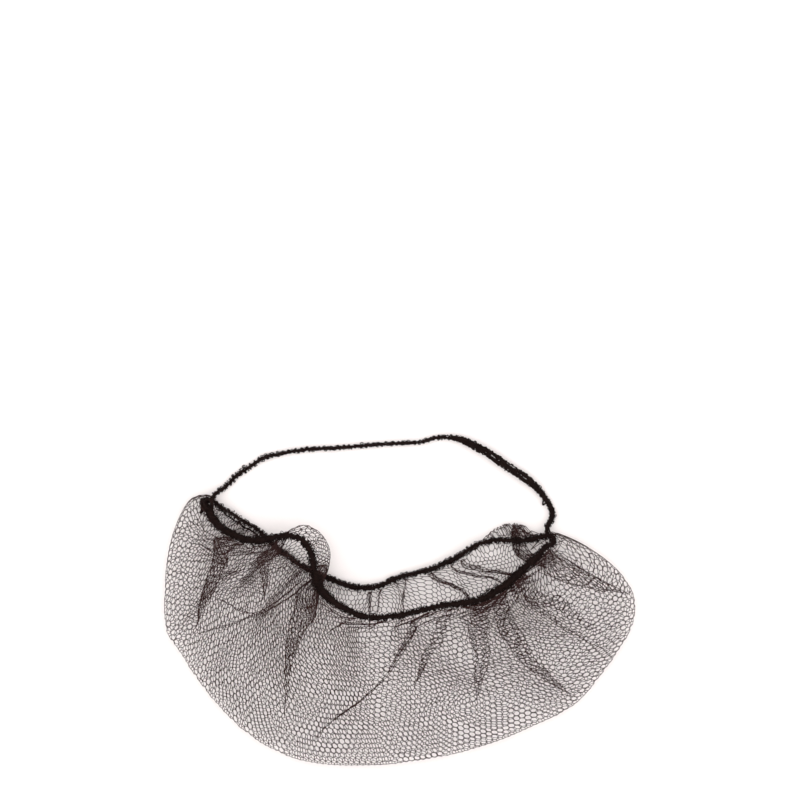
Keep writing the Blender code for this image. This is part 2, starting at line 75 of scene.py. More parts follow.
# Sections across the bag, from its left end to its right end, as shares of the sizes
SECTIONS = np.array([
    # fold across, fold up, front across, front up, front lift, back across, back up, back lift
    (-0.446, 0.978, -0.402, 0.946, 0.53, -0.388, 0.976, 0.12),
    (-0.466, 0.925, -0.397, 0.925, 0.54, -0.377, 0.961, 0.13),
    (-0.481, 0.869, -0.387, 0.903, 0.55, -0.363, 0.948, 0.13),
    (-0.492, 0.794, -0.372, 0.881, 0.57, -0.346, 0.929, 0.09),
    (-0.497, 0.719, -0.345, 0.857, 0.61, -0.324, 0.904, 0.03),
    (-0.499, 0.648, -0.313, 0.841, 0.66, -0.303, 0.884, 0.02),
    (-0.500, 0.573, -0.275, 0.850, 0.72, -0.284, 0.854, 0.02),
    (-0.493, 0.491, -0.240, 0.861, 0.78, -0.255, 0.804, 0.02),
    (-0.466, 0.423, -0.210, 0.848, 0.82, -0.236, 0.781, 0.02),
    (-0.433, 0.330, -0.189, 0.803, 0.84, -0.214, 0.753, 0.02),
    (-0.391, 0.236, -0.181, 0.738, 0.84, -0.193, 0.730, 0.02),
    (-0.329, 0.127, -0.168, 0.663, 0.86, -0.173, 0.713, 0.02),
    (-0.252, 0.045, -0.125, 0.598, 0.92, -0.149, 0.699, 0.02),
    (-0.178, 0.009, -0.070, 0.560, 0.98, -0.123, 0.681, 0.02),
    (-0.101, 0.000, -0.002, 0.564, 1.00, -0.094, 0.667, 0.02),
    (-0.010, 0.007, 0.068, 0.594, 1.00, -0.050, 0.668, 0.02),
    (0.086, 0.032, 0.134, 0.611, 0.98, 0.002, 0.706, 0.02),
    (0.192, 0.082, 0.178, 0.627, 0.95, 0.063, 0.732, 0.06),
    (0.290, 0.154, 0.203, 0.654, 0.92, 0.117, 0.773, 0.11),
    (0.371, 0.228, 0.222, 0.674, 0.88, 0.160, 0.822, 0.15),
    (0.435, 0.356, 0.249, 0.715, 0.84, 0.196, 0.841, 0.18),
    (0.490, 0.506, 0.271, 0.751, 0.78, 0.229, 0.841, 0.19),
    (0.499, 0.620, 0.284, 0.772, 0.72, 0.257, 0.840, 0.19),
    (0.472, 0.712, 0.294, 0.788, 0.66, 0.279, 0.845, 0.18),
    (0.428, 0.785, 0.300, 0.801, 0.60, 0.290, 0.850, 0.17),
    (0.368, 0.855, 0.306, 0.815, 0.54, 0.300, 0.856, 0.14),
])

# End loops of the mouth edge: across, up, heading and tip in degrees
END_LOOPS = [
    (-0.404, 0.976, 150.0, 40.0),
    (0.3153, 0.842, 4.0, 40.0),
]

# Ruffles: middle and half width along the mouth, and reach
FRONT_RUFFLE = (0.370, 0.120, 0.85)
BACK_RUFFLE = (0.840, 0.130, 0.80)

# Route of the headband: across, up as a share of BAND_RISE, and how much is doubled
BAND_ROUTE = np.array([
    (-0.372, 0.17, 0.0),
    (-0.344, 0.38, 0.0),
    (-0.320, 0.50, 0.0),
    (-0.293, 0.64, 0.0),
    (-0.255, 0.72, 0.0),
    (-0.197, 0.79, 0.0),
    (-0.127, 0.82, 0.0),
    (-0.034, 0.88, 0.0),
    (0.040, 0.91, 0.0),
    (0.080, 0.985, 0.0),
    (0.118, 0.975, 0.4),
    (0.153, 0.875, 0.9),
    (0.192, 0.71, 1.0),
    (0.229, 0.51, 1.0),
    (0.262, 0.35, 1.0),
    (0.291, 0.165, 0.7),
    (0.312, -0.04, 0.30),
    (0.324, -0.20, 0.38),
    (0.3235, -0.33, 0.38),
])

# Pleats of the net, from the edge towards the fold: shares across and up, and half the
# width of the pleat in metres, with the side of the pleat that lies on top
FRONT_PLEATS = [
    (((-0.379, 0.830, 0.0068), (-0.393, 0.719, 0.0054), (-0.4235, 0.588, 0.0020),
      (-0.427, 0.530, 0.0003)), 1),
    (((-0.284, 0.815, 0.0046), (-0.292, 0.730, 0.0034), (-0.299, 0.655, 0.0003)), -1),
    (((-0.178, 0.723, 0.0062), (-0.1854, 0.648, 0.0078), (-0.192, 0.577, 0.0078),
      (-0.2226, 0.457, 0.0046), (-0.234, 0.350, 0.0024), (-0.240, 0.243, 0.0012),
      (-0.243, 0.190, 0.0003)), 1),
    (((-0.101, 0.558, 0.0014), (-0.150, 0.498, 0.0003)), 1),
    (((-0.048, 0.547, 0.0014), (-0.048, 0.449, 0.0003)), -1),
    (((0.043, 0.573, 0.0042), (0.022, 0.498, 0.0036), (0.001, 0.423, 0.0024),
      (-0.031, 0.337, 0.0014), (-0.074, 0.262, 0.0012), (-0.129, 0.187, 0.0010),
      (-0.178, 0.112, 0.0003)), 1),
    (((0.105, 0.588, 0.0047), (0.079, 0.476, 0.0056), (0.052, 0.401, 0.0036),
      (0.028, 0.300, 0.0003)), -1),
    (((0.000, 0.560, 0.0012), (-0.014, 0.455, 0.0003)), -1),
    (((0.142, 0.600, 0.0010), (0.143, 0.500, 0.0003)), 1),
    (((0.173, 0.618, 0.0062), (0.171, 0.468, 0.0066), (0.171, 0.375, 0.0050),
      (0.162, 0.250, 0.0003)), 1),
    (((0.207, 0.640, 0.0056), (0.230, 0.506, 0.0066), (0.262, 0.419, 0.0054),
      (0.307, 0.341, 0.0032), (0.364, 0.262, 0.0003)), -1),
    (((0.241, 0.670, 0.0020), (0.292, 0.588, 0.0021), (0.341, 0.532, 0.0018),
      (0.390, 0.476, 0.0012), (0.434, 0.434, 0.0003)), 1),
    (((0.252, 0.690, 0.0054), (0.324, 0.607, 0.0052), (0.377, 0.551, 0.0032),
      (0.417, 0.498, 0.0003)), -1),
    (((0.298, 0.766, 0.0092), (0.358, 0.727, 0.0084), (0.424, 0.680, 0.0046),
      (0.486, 0.642, 0.0003)), -1),
]
# Creases that run along the bag, in the same way
FRONT_CREASES = [
    (((-0.193, 0.685, 0.0007), (-0.227, 0.622, 0.0009), (-0.284, 0.558, 0.0011),
      (-0.342, 0.528, 0.0010), (-0.418, 0.498, 0.0006)), 1),
    (((-0.382, 0.633, 0.0005), (-0.320, 0.596, 0.0010), (-0.269, 0.633, 0.0010),
      (-0.220, 0.693, 0.0005)), -1),
]
BACK_PLEATS = [
    (((-0.065, 0.678, 0.0009), (-0.065, 0.536, 0.0006)), 1),
    (((-0.048, 0.682, 0.0009), (-0.048, 0.543, 0.0006)), -1),
    (((0.011, 0.715, 0.0010), (0.005, 0.596, 0.0007)), 1),
    (((0.058, 0.730, 0.0022), (0.092, 0.685, 0.0020), (0.128, 0.655, 0.0014),
      (0.150, 0.620, 0.0006)), -1),
    (((0.126, 0.768, 0.0016), (0.165, 0.735, 0.0026), (0.218, 0.719, 0.0024),
      (0.256, 0.704, 0.0012)), 1),
    (((0.105, 0.745, 0.0012), (0.150, 0.712, 0.0014), (0.215, 0.690, 0.0010)), 1),
    (((0.282, 0.798, 0.0040), (0.286, 0.781, 0.0050), (0.294, 0.755, 0.0034)), 1),
]

# Half thickness of the edge, by its place across the bag
FRONT_EDGE_HALF = ((-0.42, -0.392, -0.375, -0.345, -0.305, -0.285, -0.262, -0.215, -0.190,
                    -0.172, -0.150, -0.118, -0.075, -0.02, 0.05, 0.095, 0.125, 0.148, 0.175,
                    0.215, 0.250, 0.280, 0.31),
                   (0.0019, 0.0030, 0.0027, 0.0019, 0.0023, 0.0026, 0.0016, 0.0015, 0.0021,
                    0.0028, 0.0026, 0.0020, 0.0017, 0.0015, 0.0012, 0.0016, 0.0025, 0.0026,
                    0.0021, 0.0028, 0.0028, 0.0022, 0.0018))
BACK_EDGE_HALF = ((-0.40, -0.36, -0.29, -0.25, -0.18, -0.10, 0.0, 0.10, 0.14, 0.20, 0.31),
                  (0.0012, 0.0006, 0.0006, 0.0009, 0.0012, 0.0009, 0.0009, 0.0013, 0.0011,
                   0.0010, 0.0012))
# How far a row of open loops stands out below the back run, in the same way
BACK_LACE = ((-0.39, -0.355, -0.30, -0.265, -0.18, -0.10, 0.0, 0.30),
             (0.0002, 0.0019, 0.0021, 0.0010, 0.0006, 0.0009, 0.0005, 0.0003))

SEAT = EDGE_RADIUS + CLEARANCE
LOOP_RADIUS = EDGE_RADIUS + END_LOOP_HOLE
FOLD_MIDDLE = (NET_WALL + FOLD_ROLL) / 2
ROWS = len(SECTIONS) + 1
UP = np.array([0.0, 0.0, 1.0])
TINY = 1e-9
SMALL = 1e-6

# How the net is led, as in the solids. Rows count the sections from either end of the bag,
# and shares count the way from the mouth edge to the chin fold.
WRAP_ROWS = 3.0
WRAP_SPREAD = 0.0040
END_TURN_ROWS = 3.5
END_TURN = 0.75
END_DROP_ROWS = 0.8
ROLL_STARTS = 0.86
SWELL = 4.6
SWELL_FALL = 1.4
FREE_AT_MOST = 0.30
FREE_REACH = 0.8
FREE_REACH_TURNED = 0.6
TURN_RISE = 1.45
SLACK = 1.6 * NET_WALL
# Shares of the free stretch beside the edge: where the net has swung over to its line, how
# soon it leans inwards outside a ruffle, where a ruffle's puff ends, where the line takes over
SWUNG_AT = 0.8
LEANS_AT = 0.2
PUFF_ENDS = 0.6
LINE_STARTS = 0.45

# Grid on which pleats are looked up, and steps of a pleat's line, a crease's line and a row
PLACE_STEPS = 540
SHARE_STEPS = 60
PLEAT_STEPS = 80
CREASE_STEPS = 90
SPOTS = 1500

# Pleats. Lengths are in metres. A narrow pleat, up to NARROW_PLEAT, has less stretch.
STRETCH = 1.05
NARROW_STRETCH = 0.40
NARROW_PLEAT = 0.0010
PLEAT_WIDENING = 0.0024
PLEAT_EASE = 1.15
PULL_REACH = 0.0060
PULL_WIDTHS = 4.5
NEAR_REACH = 0.0015
PLEAT_LAYER = 0.0005
PLEAT_RISE = 0.10
PLEAT_UNEVEN = 0.07
CREASE_RISE = 0.5
CREASE_ENDS = 0.004
# Shares over which pleats begin and end. Those of the back layer keep out of its ruffle.
FRONT_PLEATS_BEGIN = 2.0
BACK_PLEATS_BEGIN = 0.04
PLEATS_END = 0.05
FOLD_KEEPS = 0.10

# Columns of the net: how squarely they cross the lines of equal share, and how far their
# gaps at the edge are evened out over their neighbours
COLUMN_STEPS = 140
SQUARENESS = 0.85
SQUARE_ROWS = 5.0
SQUARE_SHARE = 0.6
SLIP_AT_MOST = 0.12
EVENNESS = 0.75
EVENING = 34
EVENING_REACH = 80
LEAST_GAP = 0.045
LANE_STEPS = 1080
FOLD_STEPS = 2700
COUNTED_AT = 0.88
# How much wider the gaps between columns are in the ruffles, and how much closer the lines
# of cells are. The back layer has closer lines only where it shows in the mouth.
FRONT_RUFFLE_GAPS = -0.45
BACK_RUFFLE_GAPS = 1.9
CLOSER_LINES = 0.7
FRONT_CLOSER_ENDS = 0.2
BACK_CLOSER_ENDS = 0.5
BACK_CLOSER = 1.2
BACK_CLOSER_ROWS = 1.2
MOUTH_STARTS = 0.115

# Gathers that the elastic draws, as sines along the mouth: how far they move the net in
# rows, their turns a row, and how they wander in radians, with its rate and its start
FINE_GATHERS = (
    (0.112, 1.9, 0.7, 1.7, 0.0),
    (0.030, 4.3, 1.1, 0.0, math.pi / 2),
)
COARSE_GATHERS = (
    (0.115, 0.83, 1.3, 0.9, 2.0),
    (0.055, 1.43, 1.1, 1.3, 0.0),
)
FINE_GATHER_REACH = 0.011
COARSE_GATHER_REACH = 0.026
BACK_GATHERED = 0.45
BACK_RUFFLE_SPREAD = 0.8
GATHER_STARTS = 0.0040
FREE_ROWS = 2.5

# Where the net is cut into pieces, across the bag in metres, and their names
NET_CUTS = (-0.04, 0.05)
NET_PARTS = ("left", "middle", "right")
LEAST_STRAND = 0.00008
# Where along a strand its rings lie, and the direction that they start square to
STRAND_STATIONS = np.array([0.0, 0.28, 0.72, 1.0])
STRAND_LEVEL = np.array([0.13, 0.21, 0.97])

# Steps along the edge and the headband, and corners of a ring of each kind of yarn. Then, in
# metres, the thickness of the small loops and half the thickness of the other loose yarns.
EDGE_STEP = 0.00042
BAND_STEP = 0.00040
CORE_SIDES = 8
YARN_SIDES = 6
LOOP_SIDES = 4
EDGE_LOOP = 0.00034
EDGE_PICOT = 0.00021
SELVAGE = 0.00042
BAND_LOOP = 0.00026
BAND_LOOP_REACH = 0.00060
BAND_PICOT = 0.00023
# Shares of the half thickness at which the core ends and at which the wound yarns lie
EDGE_CORE = 0.56
EDGE_WOUND = 0.62
BAND_CORE = 0.70
BAND_WOUND = 0.72
# Knot at the left end loop: its place from there, its half size, half the thickness of its
# yarn, and the rates of its sines
KNOT_SHIFT = np.array([-0.0012, -0.0008, 0.0006])
KNOT_HALF = np.array([0.0030, 0.0034, 0.0022])
KNOT_YARN = 0.00055
KNOT_RATES = ((2, 3, 5), (3, 5, 4))
# Loose tail at the headband's right foot: its start, its way and how far it bows
TAIL_START = np.array([0.0792, 0.1466, 0.0020])
TAIL_WAY = np.array([0.0014, -0.0022, -0.0012])
TAIL_BOW = np.array([-0.0012, -0.0022, 0.0])
TAIL_YARN = 0.00045
# Half thickness of one run of the headband, what it gains beside a second run, how far each
# of the two moves aside, and how much further out the small loops start there
BAND_HALF = 0.00075
BAND_HALF_DOUBLED = 0.00044
BAND_APART = 0.00086
BAND_LOOPS_DOUBLED = 0.00130
# How far the single run lies inwards from the route, and a point that the headband goes round
BAND_INWARDS = 0.00010
BAND_INSIDE = np.array([0.0, 0.15, 0.0])
# Rows of picot loops on the headband: side, height and length of a loop. They stand out
# more where the band is knotty, by its place and reach across the bag.
BAND_PICOTS = ((1.0, 0.00125, 0.0033), (1.0, 0.00095, 0.0023),
               (-1.0, 0.00105, 0.0029), (-1.0, 0.00080, 0.0021))
KNOTTY_AT = -0.33
KNOTTY_REACH = 0.05

# Noise of the yarn's colour, in cells a metre, and its shades of the yarn's colour
PATCH_SCALE = 260.0
FLECK_SCALE = 900.0
FLUFF_SCALE = 5200.0
DARK_SHADE = 0.62
LIGHT_SHADE = 1.55
FLECK_SHADE = 3.2

# Stage, and the photo's frame: its pixels, and the pixel of the bag's lowest point
FLOOR_HALF = 3.0
FLOOR_LEVEL = -0.0002
PHOTO_PIXELS = 800
BAG_PIXEL = (399.7, 765.0)
SENSOR = 36.0


class NetSettings(bpy.types.PropertyGroup):
    """Sizes and colour of the net."""

    cell_width: FloatProperty(
        name="Cell width", description="Width of a cell along the chin fold",
        default=0.0031, min=0.001, subtype="DISTANCE", unit="LENGTH")
    cell_height: FloatProperty(
        name="Cell height", description="From one line of cells to the next",
        default=0.00275, min=0.001, subtype="DISTANCE", unit="LENGTH")
    strand: FloatProperty(
        name="Strand", description="Thickness of a strand at its middle",
        default=0.00030, min=0.0001, subtype="DISTANCE", unit="LENGTH")
    joint: FloatProperty(
        name="Joint", description="Thickness of a strand at its joints, as a share of its middle",
        default=1.25, min=1.0, subtype="FACTOR")
    unevenness: FloatProperty(
        name="Unevenness", description="How far the cells lie from where an even net has them",
        default=0.0002, min=0.0, subtype="DISTANCE", unit="LENGTH")
    colour: FloatVectorProperty(
        name="Colour", description="Colour of the net yarn",
        default=(0.037, 0.0158, 0.0142), min=0.0, max=1.0, size=3, subtype="COLOR")


class EdgeSettings(bpy.types.PropertyGroup):
    """Sizes and colour of the elastic edge of the mouth."""

    yarn: FloatProperty(
        name="Yarn", description="Thickness of the yarn that is wound round the edge",
        default=0.00065, min=0.0001, subtype="DISTANCE", unit="LENGTH")
    loop: FloatProperty(
        name="Loops", description="How far the small loops stand out from the edge",
        default=0.0011, min=0.0, subtype="DISTANCE", unit="LENGTH")
    loops: IntProperty(
        name="Number of loops", description="Small loops along the whole edge",
        default=1400, min=0)
    colour: FloatVectorProperty(
        name="Colour", description="Colour of the edge's yarn",
        default=(0.0095, 0.0044, 0.0036), min=0.0, max=1.0, size=3, subtype="COLOR")


class BandSettings(bpy.types.PropertyGroup):
    """Sizes and colour of the headband."""

    yarn: FloatProperty(
        name="Yarn", description="Thickness of the yarn that covers the elastic",
        default=0.00050, min=0.0001, subtype="DISTANCE", unit="LENGTH")
    loops: IntProperty(
        name="Number of loops", description="Small loops along the headband",
        default=300, min=0)
    colour: FloatVectorProperty(
        name="Colour", description="Colour of the headband's yarn",
        default=(0.0095, 0.0048, 0.0040), min=0.0, max=1.0, size=3, subtype="COLOR")


class StageSettings(bpy.types.PropertyGroup):
    """Floor, light and camera."""

    distance: FloatProperty(
        name="Camera distance", description="Height of the camera above the floor",
        default=2.4, min=0.5, subtype="DISTANCE", unit="LENGTH")
    light: FloatProperty(
        name="Light", description="Power of the soft light overhead",
        default=2.5, min=0.0, unit="POWER")
    surround: FloatProperty(
        name="Surround", description="Strength of the white surround",
        default=1.46, min=0.0)


class CoverSettings(bpy.types.PropertyGroup):
    """All settings of the beard cover."""

    net: PointerProperty(type=NetSettings)
    edge: PointerProperty(type=EdgeSettings)
    band: PointerProperty(type=BandSettings)
    stage: PointerProperty(type=StageSettings)


def smooth_step(value):
    """Ease from 0 to 1."""
    value = np.clip(value, 0.0, 1.0)
    return value * value * (3 - 2 * value)


def unit(vectors):
    """Vectors of length one."""
    return vectors / np.maximum(np.linalg.norm(vectors, axis=-1, keepdims=True), TINY)


def smooth_rows(rows, places):
    """Values on a smooth curve through the rows of a table, at places counted in rows.

    Between two rows it is the cubic whose slope at a row is half the step from the row
    before to the row after.
    """
    padded = np.vstack([2 * rows[0] - rows[1], rows, 2 * rows[-1] - rows[-2]])
    places = np.clip(places, 0, len(rows) - 1)
    first = np.minimum(places.astype(int), len(rows) - 2)
    u = (places - first)[..., None]
    p0, p1, p2, p3 = (padded[first + k] for k in range(4))
    bend = 2 * p0 - 5 * p1 + 4 * p2 - p3
    twist = 3 * p1 - p0 - 3 * p2 + p3
    return p1 + 0.5 * u * (p2 - p0 + u * (bend + u * twist))


def step_along(rows, places, reach):
    """Step on the smooth curve from a little before each place to as far behind it."""
    return smooth_rows(rows, places + reach) - smooth_rows(rows, places - reach)


def lengths_run(steps):
    """Length run at each point, from the lengths of the steps along the last axis."""
    return np.concatenate([np.zeros_like(steps[..., :1]), np.cumsum(steps, axis=-1)], axis=-1)


def end_loop(number):
    """Centre, outward way and way to the front run of one end loop of the mouth edge."""
    across, up, heading, tip = END_LOOPS[number]
    heading, tip = np.radians([heading, tip])
    outward = np.array([np.cos(heading), np.sin(heading), 0.0])
    side = 1.0 if number == 0 else -1.0
    level = side * np.array([-np.sin(heading), np.cos(heading), 0.0])
    to_front = level * np.cos(tip) + np.array([0.0, 0.0, np.sin(tip)])
    low = LOOP_RADIUS * np.sin(tip) + NET_WALL + SEAT + CLEARANCE
    centre = np.array([across * POUCH_WIDTH, up * POUCH_DEPTH, low])
    return centre, outward, to_front


def section_points():
    """The fold, front edge and back edge of every section, as arrays of points."""
    scale = np.array([POUCH_WIDTH, POUCH_DEPTH])
    fold = np.column_stack([SECTIONS[:, 0:2] * scale, np.full(len(SECTIONS), FOLD_MIDDLE)])
    front = np.column_stack([SECTIONS[:, 2:4] * scale, SECTIONS[:, 4] * FRONT_EDGE_LIFT])
    back = np.column_stack([SECTIONS[:, 5:7] * scale,
                            SECTIONS[:, 7] * FRONT_EDGE_LIFT + EDGE_RADIUS])
    for number in (0, 1):
        centre, outward, to_front = end_loop(number)
        row = number * len(fold)
        fold = np.insert(fold, row, centre + outward * (LOOP_RADIUS + SEAT), axis=0)
        front = np.insert(front, row, centre + to_front * LOOP_RADIUS, axis=0)
        back = np.insert(back, row, centre - to_front * LOOP_RADIUS, axis=0)
    return fold, front, back


FOLD, FRONT, BACK = section_points()


def waves(points, length, seed):
    """Smooth noise of about one: sines along five seeded ways, with crests about a length
    apart, added up."""
    rng = np.random.default_rng(seed)
    ways = unit(rng.normal(size=(5, points.shape[-1])))
    turns = rng.uniform(0.7, 1.4, 5) * 2 * np.pi / length
    return np.sin(points @ ways.T * turns + rng.uniform(0, 2 * np.pi, 5)).sum(axis=-1) / 2.2


def layer_height(share, edge_height, upper):
    """Height of a layer of net, by its share of the way from the edge to the fold."""
    roll = np.clip((share - ROLL_STARTS) / (1 - ROLL_STARTS), 0, 1)
    rounding = np.sqrt(np.maximum(1 - roll ** 2, 0))
    if not upper:
        return FOLD_MIDDLE - (FOLD_MIDDLE - NET_WALL / 2) * rounding
    level = edge_height * (1 - share) + FOLD_ROLL * share
    swell = max(POUCH_HEIGHT - FRONT_EDGE_LIFT, 0) * SWELL * share * (1 - share) ** SWELL_FALL
    return FOLD_MIDDLE + (level + swell - FOLD_MIDDLE) * rounding


def bag_points(places, shares, upper):
    """Points on one layer of the bag, by place along the mouth and share of the way down.

    A point lies on the straight way in plan from the edge to the fold, at the height of a
    dome that rolls over at the fold. Beside the edge it unwinds from its seat round the
    edge, in a ruffle from the outer side. At both ends it bends round the end loops.
    """
    rows = FRONT if upper else BACK
    edge = smooth_rows(rows, places)
    fold = smooth_rows(FOLD, places)
    along = step_along(rows, places, 0.2)
    outward = unit(np.stack([-along[..., 1], along[..., 0], 0 * places], axis=-1))
    outward = outward * np.sign(np.sum(outward * (edge - fold), axis=-1))[..., None]
    middle, half, reach = FRONT_RUFFLE if upper else BACK_RUFFLE
    offset = np.clip((places / ROWS - middle) / half, -1, 1)
    reach = RUFFLE_REACH * reach * np.cos(offset * np.pi / 2) ** 2
    turn = np.minimum((1 - np.abs(offset)) * TURN_RISE, 1)
    end = np.minimum(places, ROWS - places)
    if not upper:
        turn = np.maximum(turn, END_TURN * (1 - smooth_step(end / END_TURN_ROWS)))
    inward = (fold - edge) * np.array([1.0, 1.0, 0.0])
    width = np.maximum(np.linalg.norm(inward, axis=-1), SMALL)
    inward = inward / width[..., None]
    free = np.minimum(FREE_AT_MOST, GATHER_REACH * (FREE_REACH + FREE_REACH_TURNED * turn) / width)
    rise = layer_height(free, edge[..., 2], upper) - edge[..., 2]
    knot_angle = np.arctan2(rise, width * free)
    knot_radius = np.hypot(rise, width * free)

    run = edge + inward * (width * shares)[..., None]
    run[..., 2] = layer_height(shares, edge[..., 2], upper)
    unwound = np.clip(shares / free, 0, 1)
    swing = smooth_step(unwound / SWUNG_AT)
    angle = -np.pi * turn * (1 - swing) + knot_angle * swing
    slack = SLACK * np.sin(np.pi * turn / 2) * smooth_step(unwound * 6)
    grow = unwound ** (1 + 1.2 * turn)
    radius = SEAT + slack * (1 - unwound) + (knot_radius - SEAT) * grow
    ruffled = smooth_step(turn * 2)
    lean = unwound * ruffled + smooth_step(unwound / LEANS_AT) * (1 - ruffled)
    axis = unit(inward * lean[..., None] - outward * (1 - lean)[..., None])
    puff = reach * np.sin(np.pi * np.clip(unwound / PUFF_ENDS, 0, 1))
    wound = edge + axis * (radius * np.cos(angle))[..., None] + outward * puff[..., None]
    wound[..., 2] += radius * np.sin(angle)
    joined = smooth_step((shares / free - LINE_STARTS) / (1 - LINE_STARTS))[..., None]
    points = wound * (1 - joined) + run * joined

    bend = np.pi / 2 * (shares if upper else 2 - shares)
    for number, distance in ((0, places), (1, ROWS - places)):
        centre, out, to_front = end_loop(number)
        dropped = smooth_step(distance / END_DROP_ROWS)
        hug = (1 - smooth_step(distance / WRAP_ROWS))[..., None] * np.ones(3)
        if not upper:
            hug[..., 2] = 1 - dropped
        to_side = np.cos(bend) * (LOOP_RADIUS + SEAT + dropped * NET_WALL)
        to_end = np.sin(bend) * (LOOP_RADIUS + SEAT + distance * WRAP_SPREAD)
        wrapped = centre + to_front * to_side[..., None] + out * to_end[..., None]
        points = points * (1 - hug) + wrapped * hug
    points[..., 2] = np.maximum(points[..., 2], NET_WALL / 2)
    return points


def layer_grid(upper):
    """Plan points of a layer on a grid of shares and places, and the length run on each row.

    A row of the grid is a line of equal share, from the left end of the mouth to the right.
    """
    places = np.linspace(0, ROWS, PLACE_STEPS + 1)
    shares = np.linspace(0, 1, SHARE_STEPS + 1)[:, None, None]
    edge = smooth_rows(FRONT if upper else BACK, places)[None, :, :2]
    plan = edge * (1 - shares) + smooth_rows(FOLD, places)[None, :, :2] * shares
    return plan, lengths_run(np.linalg.norm(np.diff(plan, axis=1), axis=2))


def sampled(grid, shares, places):
    """Value of a grid between its points, by share and place."""
    u = np.clip(shares * SHARE_STEPS, 0, SHARE_STEPS - SMALL)
    v = np.clip(places / ROWS * PLACE_STEPS, 0, PLACE_STEPS - SMALL)
    i, j = u.astype(int), v.astype(int)
    a, b = u - i, v - j
    near = grid[i, j] * (1 - b) + grid[i, j + 1] * b
    return near * (1 - a) + (grid[i + 1, j] * (1 - b) + grid[i + 1, j + 1] * b) * a


def doubled_back(distance, half):
    """How far a point moves towards a pleat, and how near to it the point is.

    With d the distance and b a little more than half the pleat's width, a point within b / g
    goes over to the other side, to -g d. One further out moves in by
    (1 + g) b / g * exp(-(d - b / g) / w), and the change between the two is soft. The net so
    doubles back between -b and b and lies there in three layers, and it is opened a little
    beside them. g is STRETCH, and less in a narrow pleat, which draws more net together.
    """
    widened = smooth_step((half - NARROW_PLEAT) / PLEAT_WIDENING)
    stretch = STRETCH * (NARROW_STRETCH + (1 - NARROW_STRETCH) * widened)
    size, half = np.abs(distance), half * PLEAT_EASE / stretch
    within = size * half / np.maximum((size ** 4 + half ** 4) ** (1 / 4), TINY)
    beyond = np.maximum(size - half, 0)
    fade = PULL_REACH + PULL_WIDTHS * half
    pull = (1 + stretch) * within * np.exp(-beyond / fade) * np.sign(distance)
    return pull, np.exp(-beyond / (NEAR_REACH + half))


def below_turn(distance, half, side):
    """How far under the top of a pleat a point lies, from 0 on its upper side to 2."""
    return 1 - side * np.clip(distance / half * STRETCH, -1, 1)


def folded(spots, middles, halves):
    """Spots along a row after each pleat in turn has drawn them in."""
    for middle, half in zip(middles, halves):
        spots = spots - doubled_back(spots - middle, half)[0]
    return spots


def averaged(values):
    """Mean of each value with its two neighbours on either side."""
    return np.convolve(np.pad(values, 2, mode="edge"), np.full(5, 0.2), mode="valid")


def pleat_lines(pleats, plan, run, beginning):
    """Middle and half width of each pleat on every row of a layer's grid.

    Its stops are looked up on the grid. The last pleat lies where its stops are. Each one
    before it starts from the spots that the later ones carry to its stops, and it is as
    much wider or narrower as they make it again.
    """
    rows = np.linspace(0, 1, SHARE_STEPS + 1)
    spots = np.linspace(0, 1, SPOTS)[None] * run[:, -1:]
    middles, halves = [], []
    for stops, _ in reversed(pleats):
        found = []
        for across, up, half in stops:
            gap = np.linalg.norm(plan - np.array([across * POUCH_WIDTH, up * POUCH_DEPTH]), axis=2)
            row, column = np.unravel_index(gap.argmin(), gap.shape)
            found.append((row / SHARE_STEPS, column / PLACE_STEPS * ROWS, half))
        line = smooth_rows(np.array(found), np.linspace(0, len(found) - 1, PLEAT_STEPS))
        line = line[np.argsort(line[:, 0])]
        wanted = sampled(run, rows, np.interp(rows, line[:, 0], line[:, 1]))
        half = np.interp(rows, line[:, 0], line[:, 2])
        half = half * (1 - smooth_step((rows - line[-1, 0]) / PLEATS_END))
        half = half * smooth_step((rows - line[0, 0]) / beginning + 1) + SMALL
        there = folded(spots, [m[:, None] for m in middles], [h[:, None] for h in halves])
        low, middle, high = (
            np.take_along_axis(spots, np.abs(there - aim[:, None]).argmin(axis=1)[:, None], 1)[:, 0]
            for aim in (wanted - half, wanted, wanted + half))
        middles.insert(0, averaged(middle))
        halves.insert(0, averaged(np.clip((high - low) / 2, 0.5 * half, 1.5 * half)))
    return rows, middles, halves


def pleated(place, share, pleats, upper):
    """Places after the pleats have drawn the net in along its lines, and the height gained.

    The place of a wanted length along a line is found by Newton's steps.
    """
    plan, run = layer_grid(upper)
    beginning = FRONT_PLEATS_BEGIN if upper else BACK_PLEATS_BEGIN
    rows, middles, halves = pleat_lines(pleats, plan, run, beginning)
    target = sampled(run, share, place)
    ends = smooth_step(np.minimum(place, ROWS - place) / END_DROP_ROWS)
    keep = smooth_step((1 - share) / FOLD_KEEPS) * ends
    lift = np.zeros_like(target)
    for number, ((_, side), middle, half) in enumerate(zip(pleats, middles, halves)):
        half = half * (1 + PLEAT_UNEVEN * waves(rows[:, None], length=0.35, seed=200 + number))
        half = np.interp(share, rows, half) * keep + SMALL
        distance = target - np.interp(share, rows, middle)
        pull, near = doubled_back(distance, half)
        target = target - pull
        layer = PLEAT_RISE * half + PLEAT_LAYER * smooth_step(half / NARROW_PLEAT)
        lift += layer * below_turn(distance, half, side) * near
    target = np.clip(target, 0, np.interp(share, rows, run[:, -1]))
    for _ in range(6):
        slope = (sampled(run, share, place + 0.05) - sampled(run, share, place - 0.05)) / 0.1
        place = place + (target - sampled(run, share, place)) / np.maximum(slope, 0.001)
        place = np.clip(place, 0, ROWS)
    return place, lift


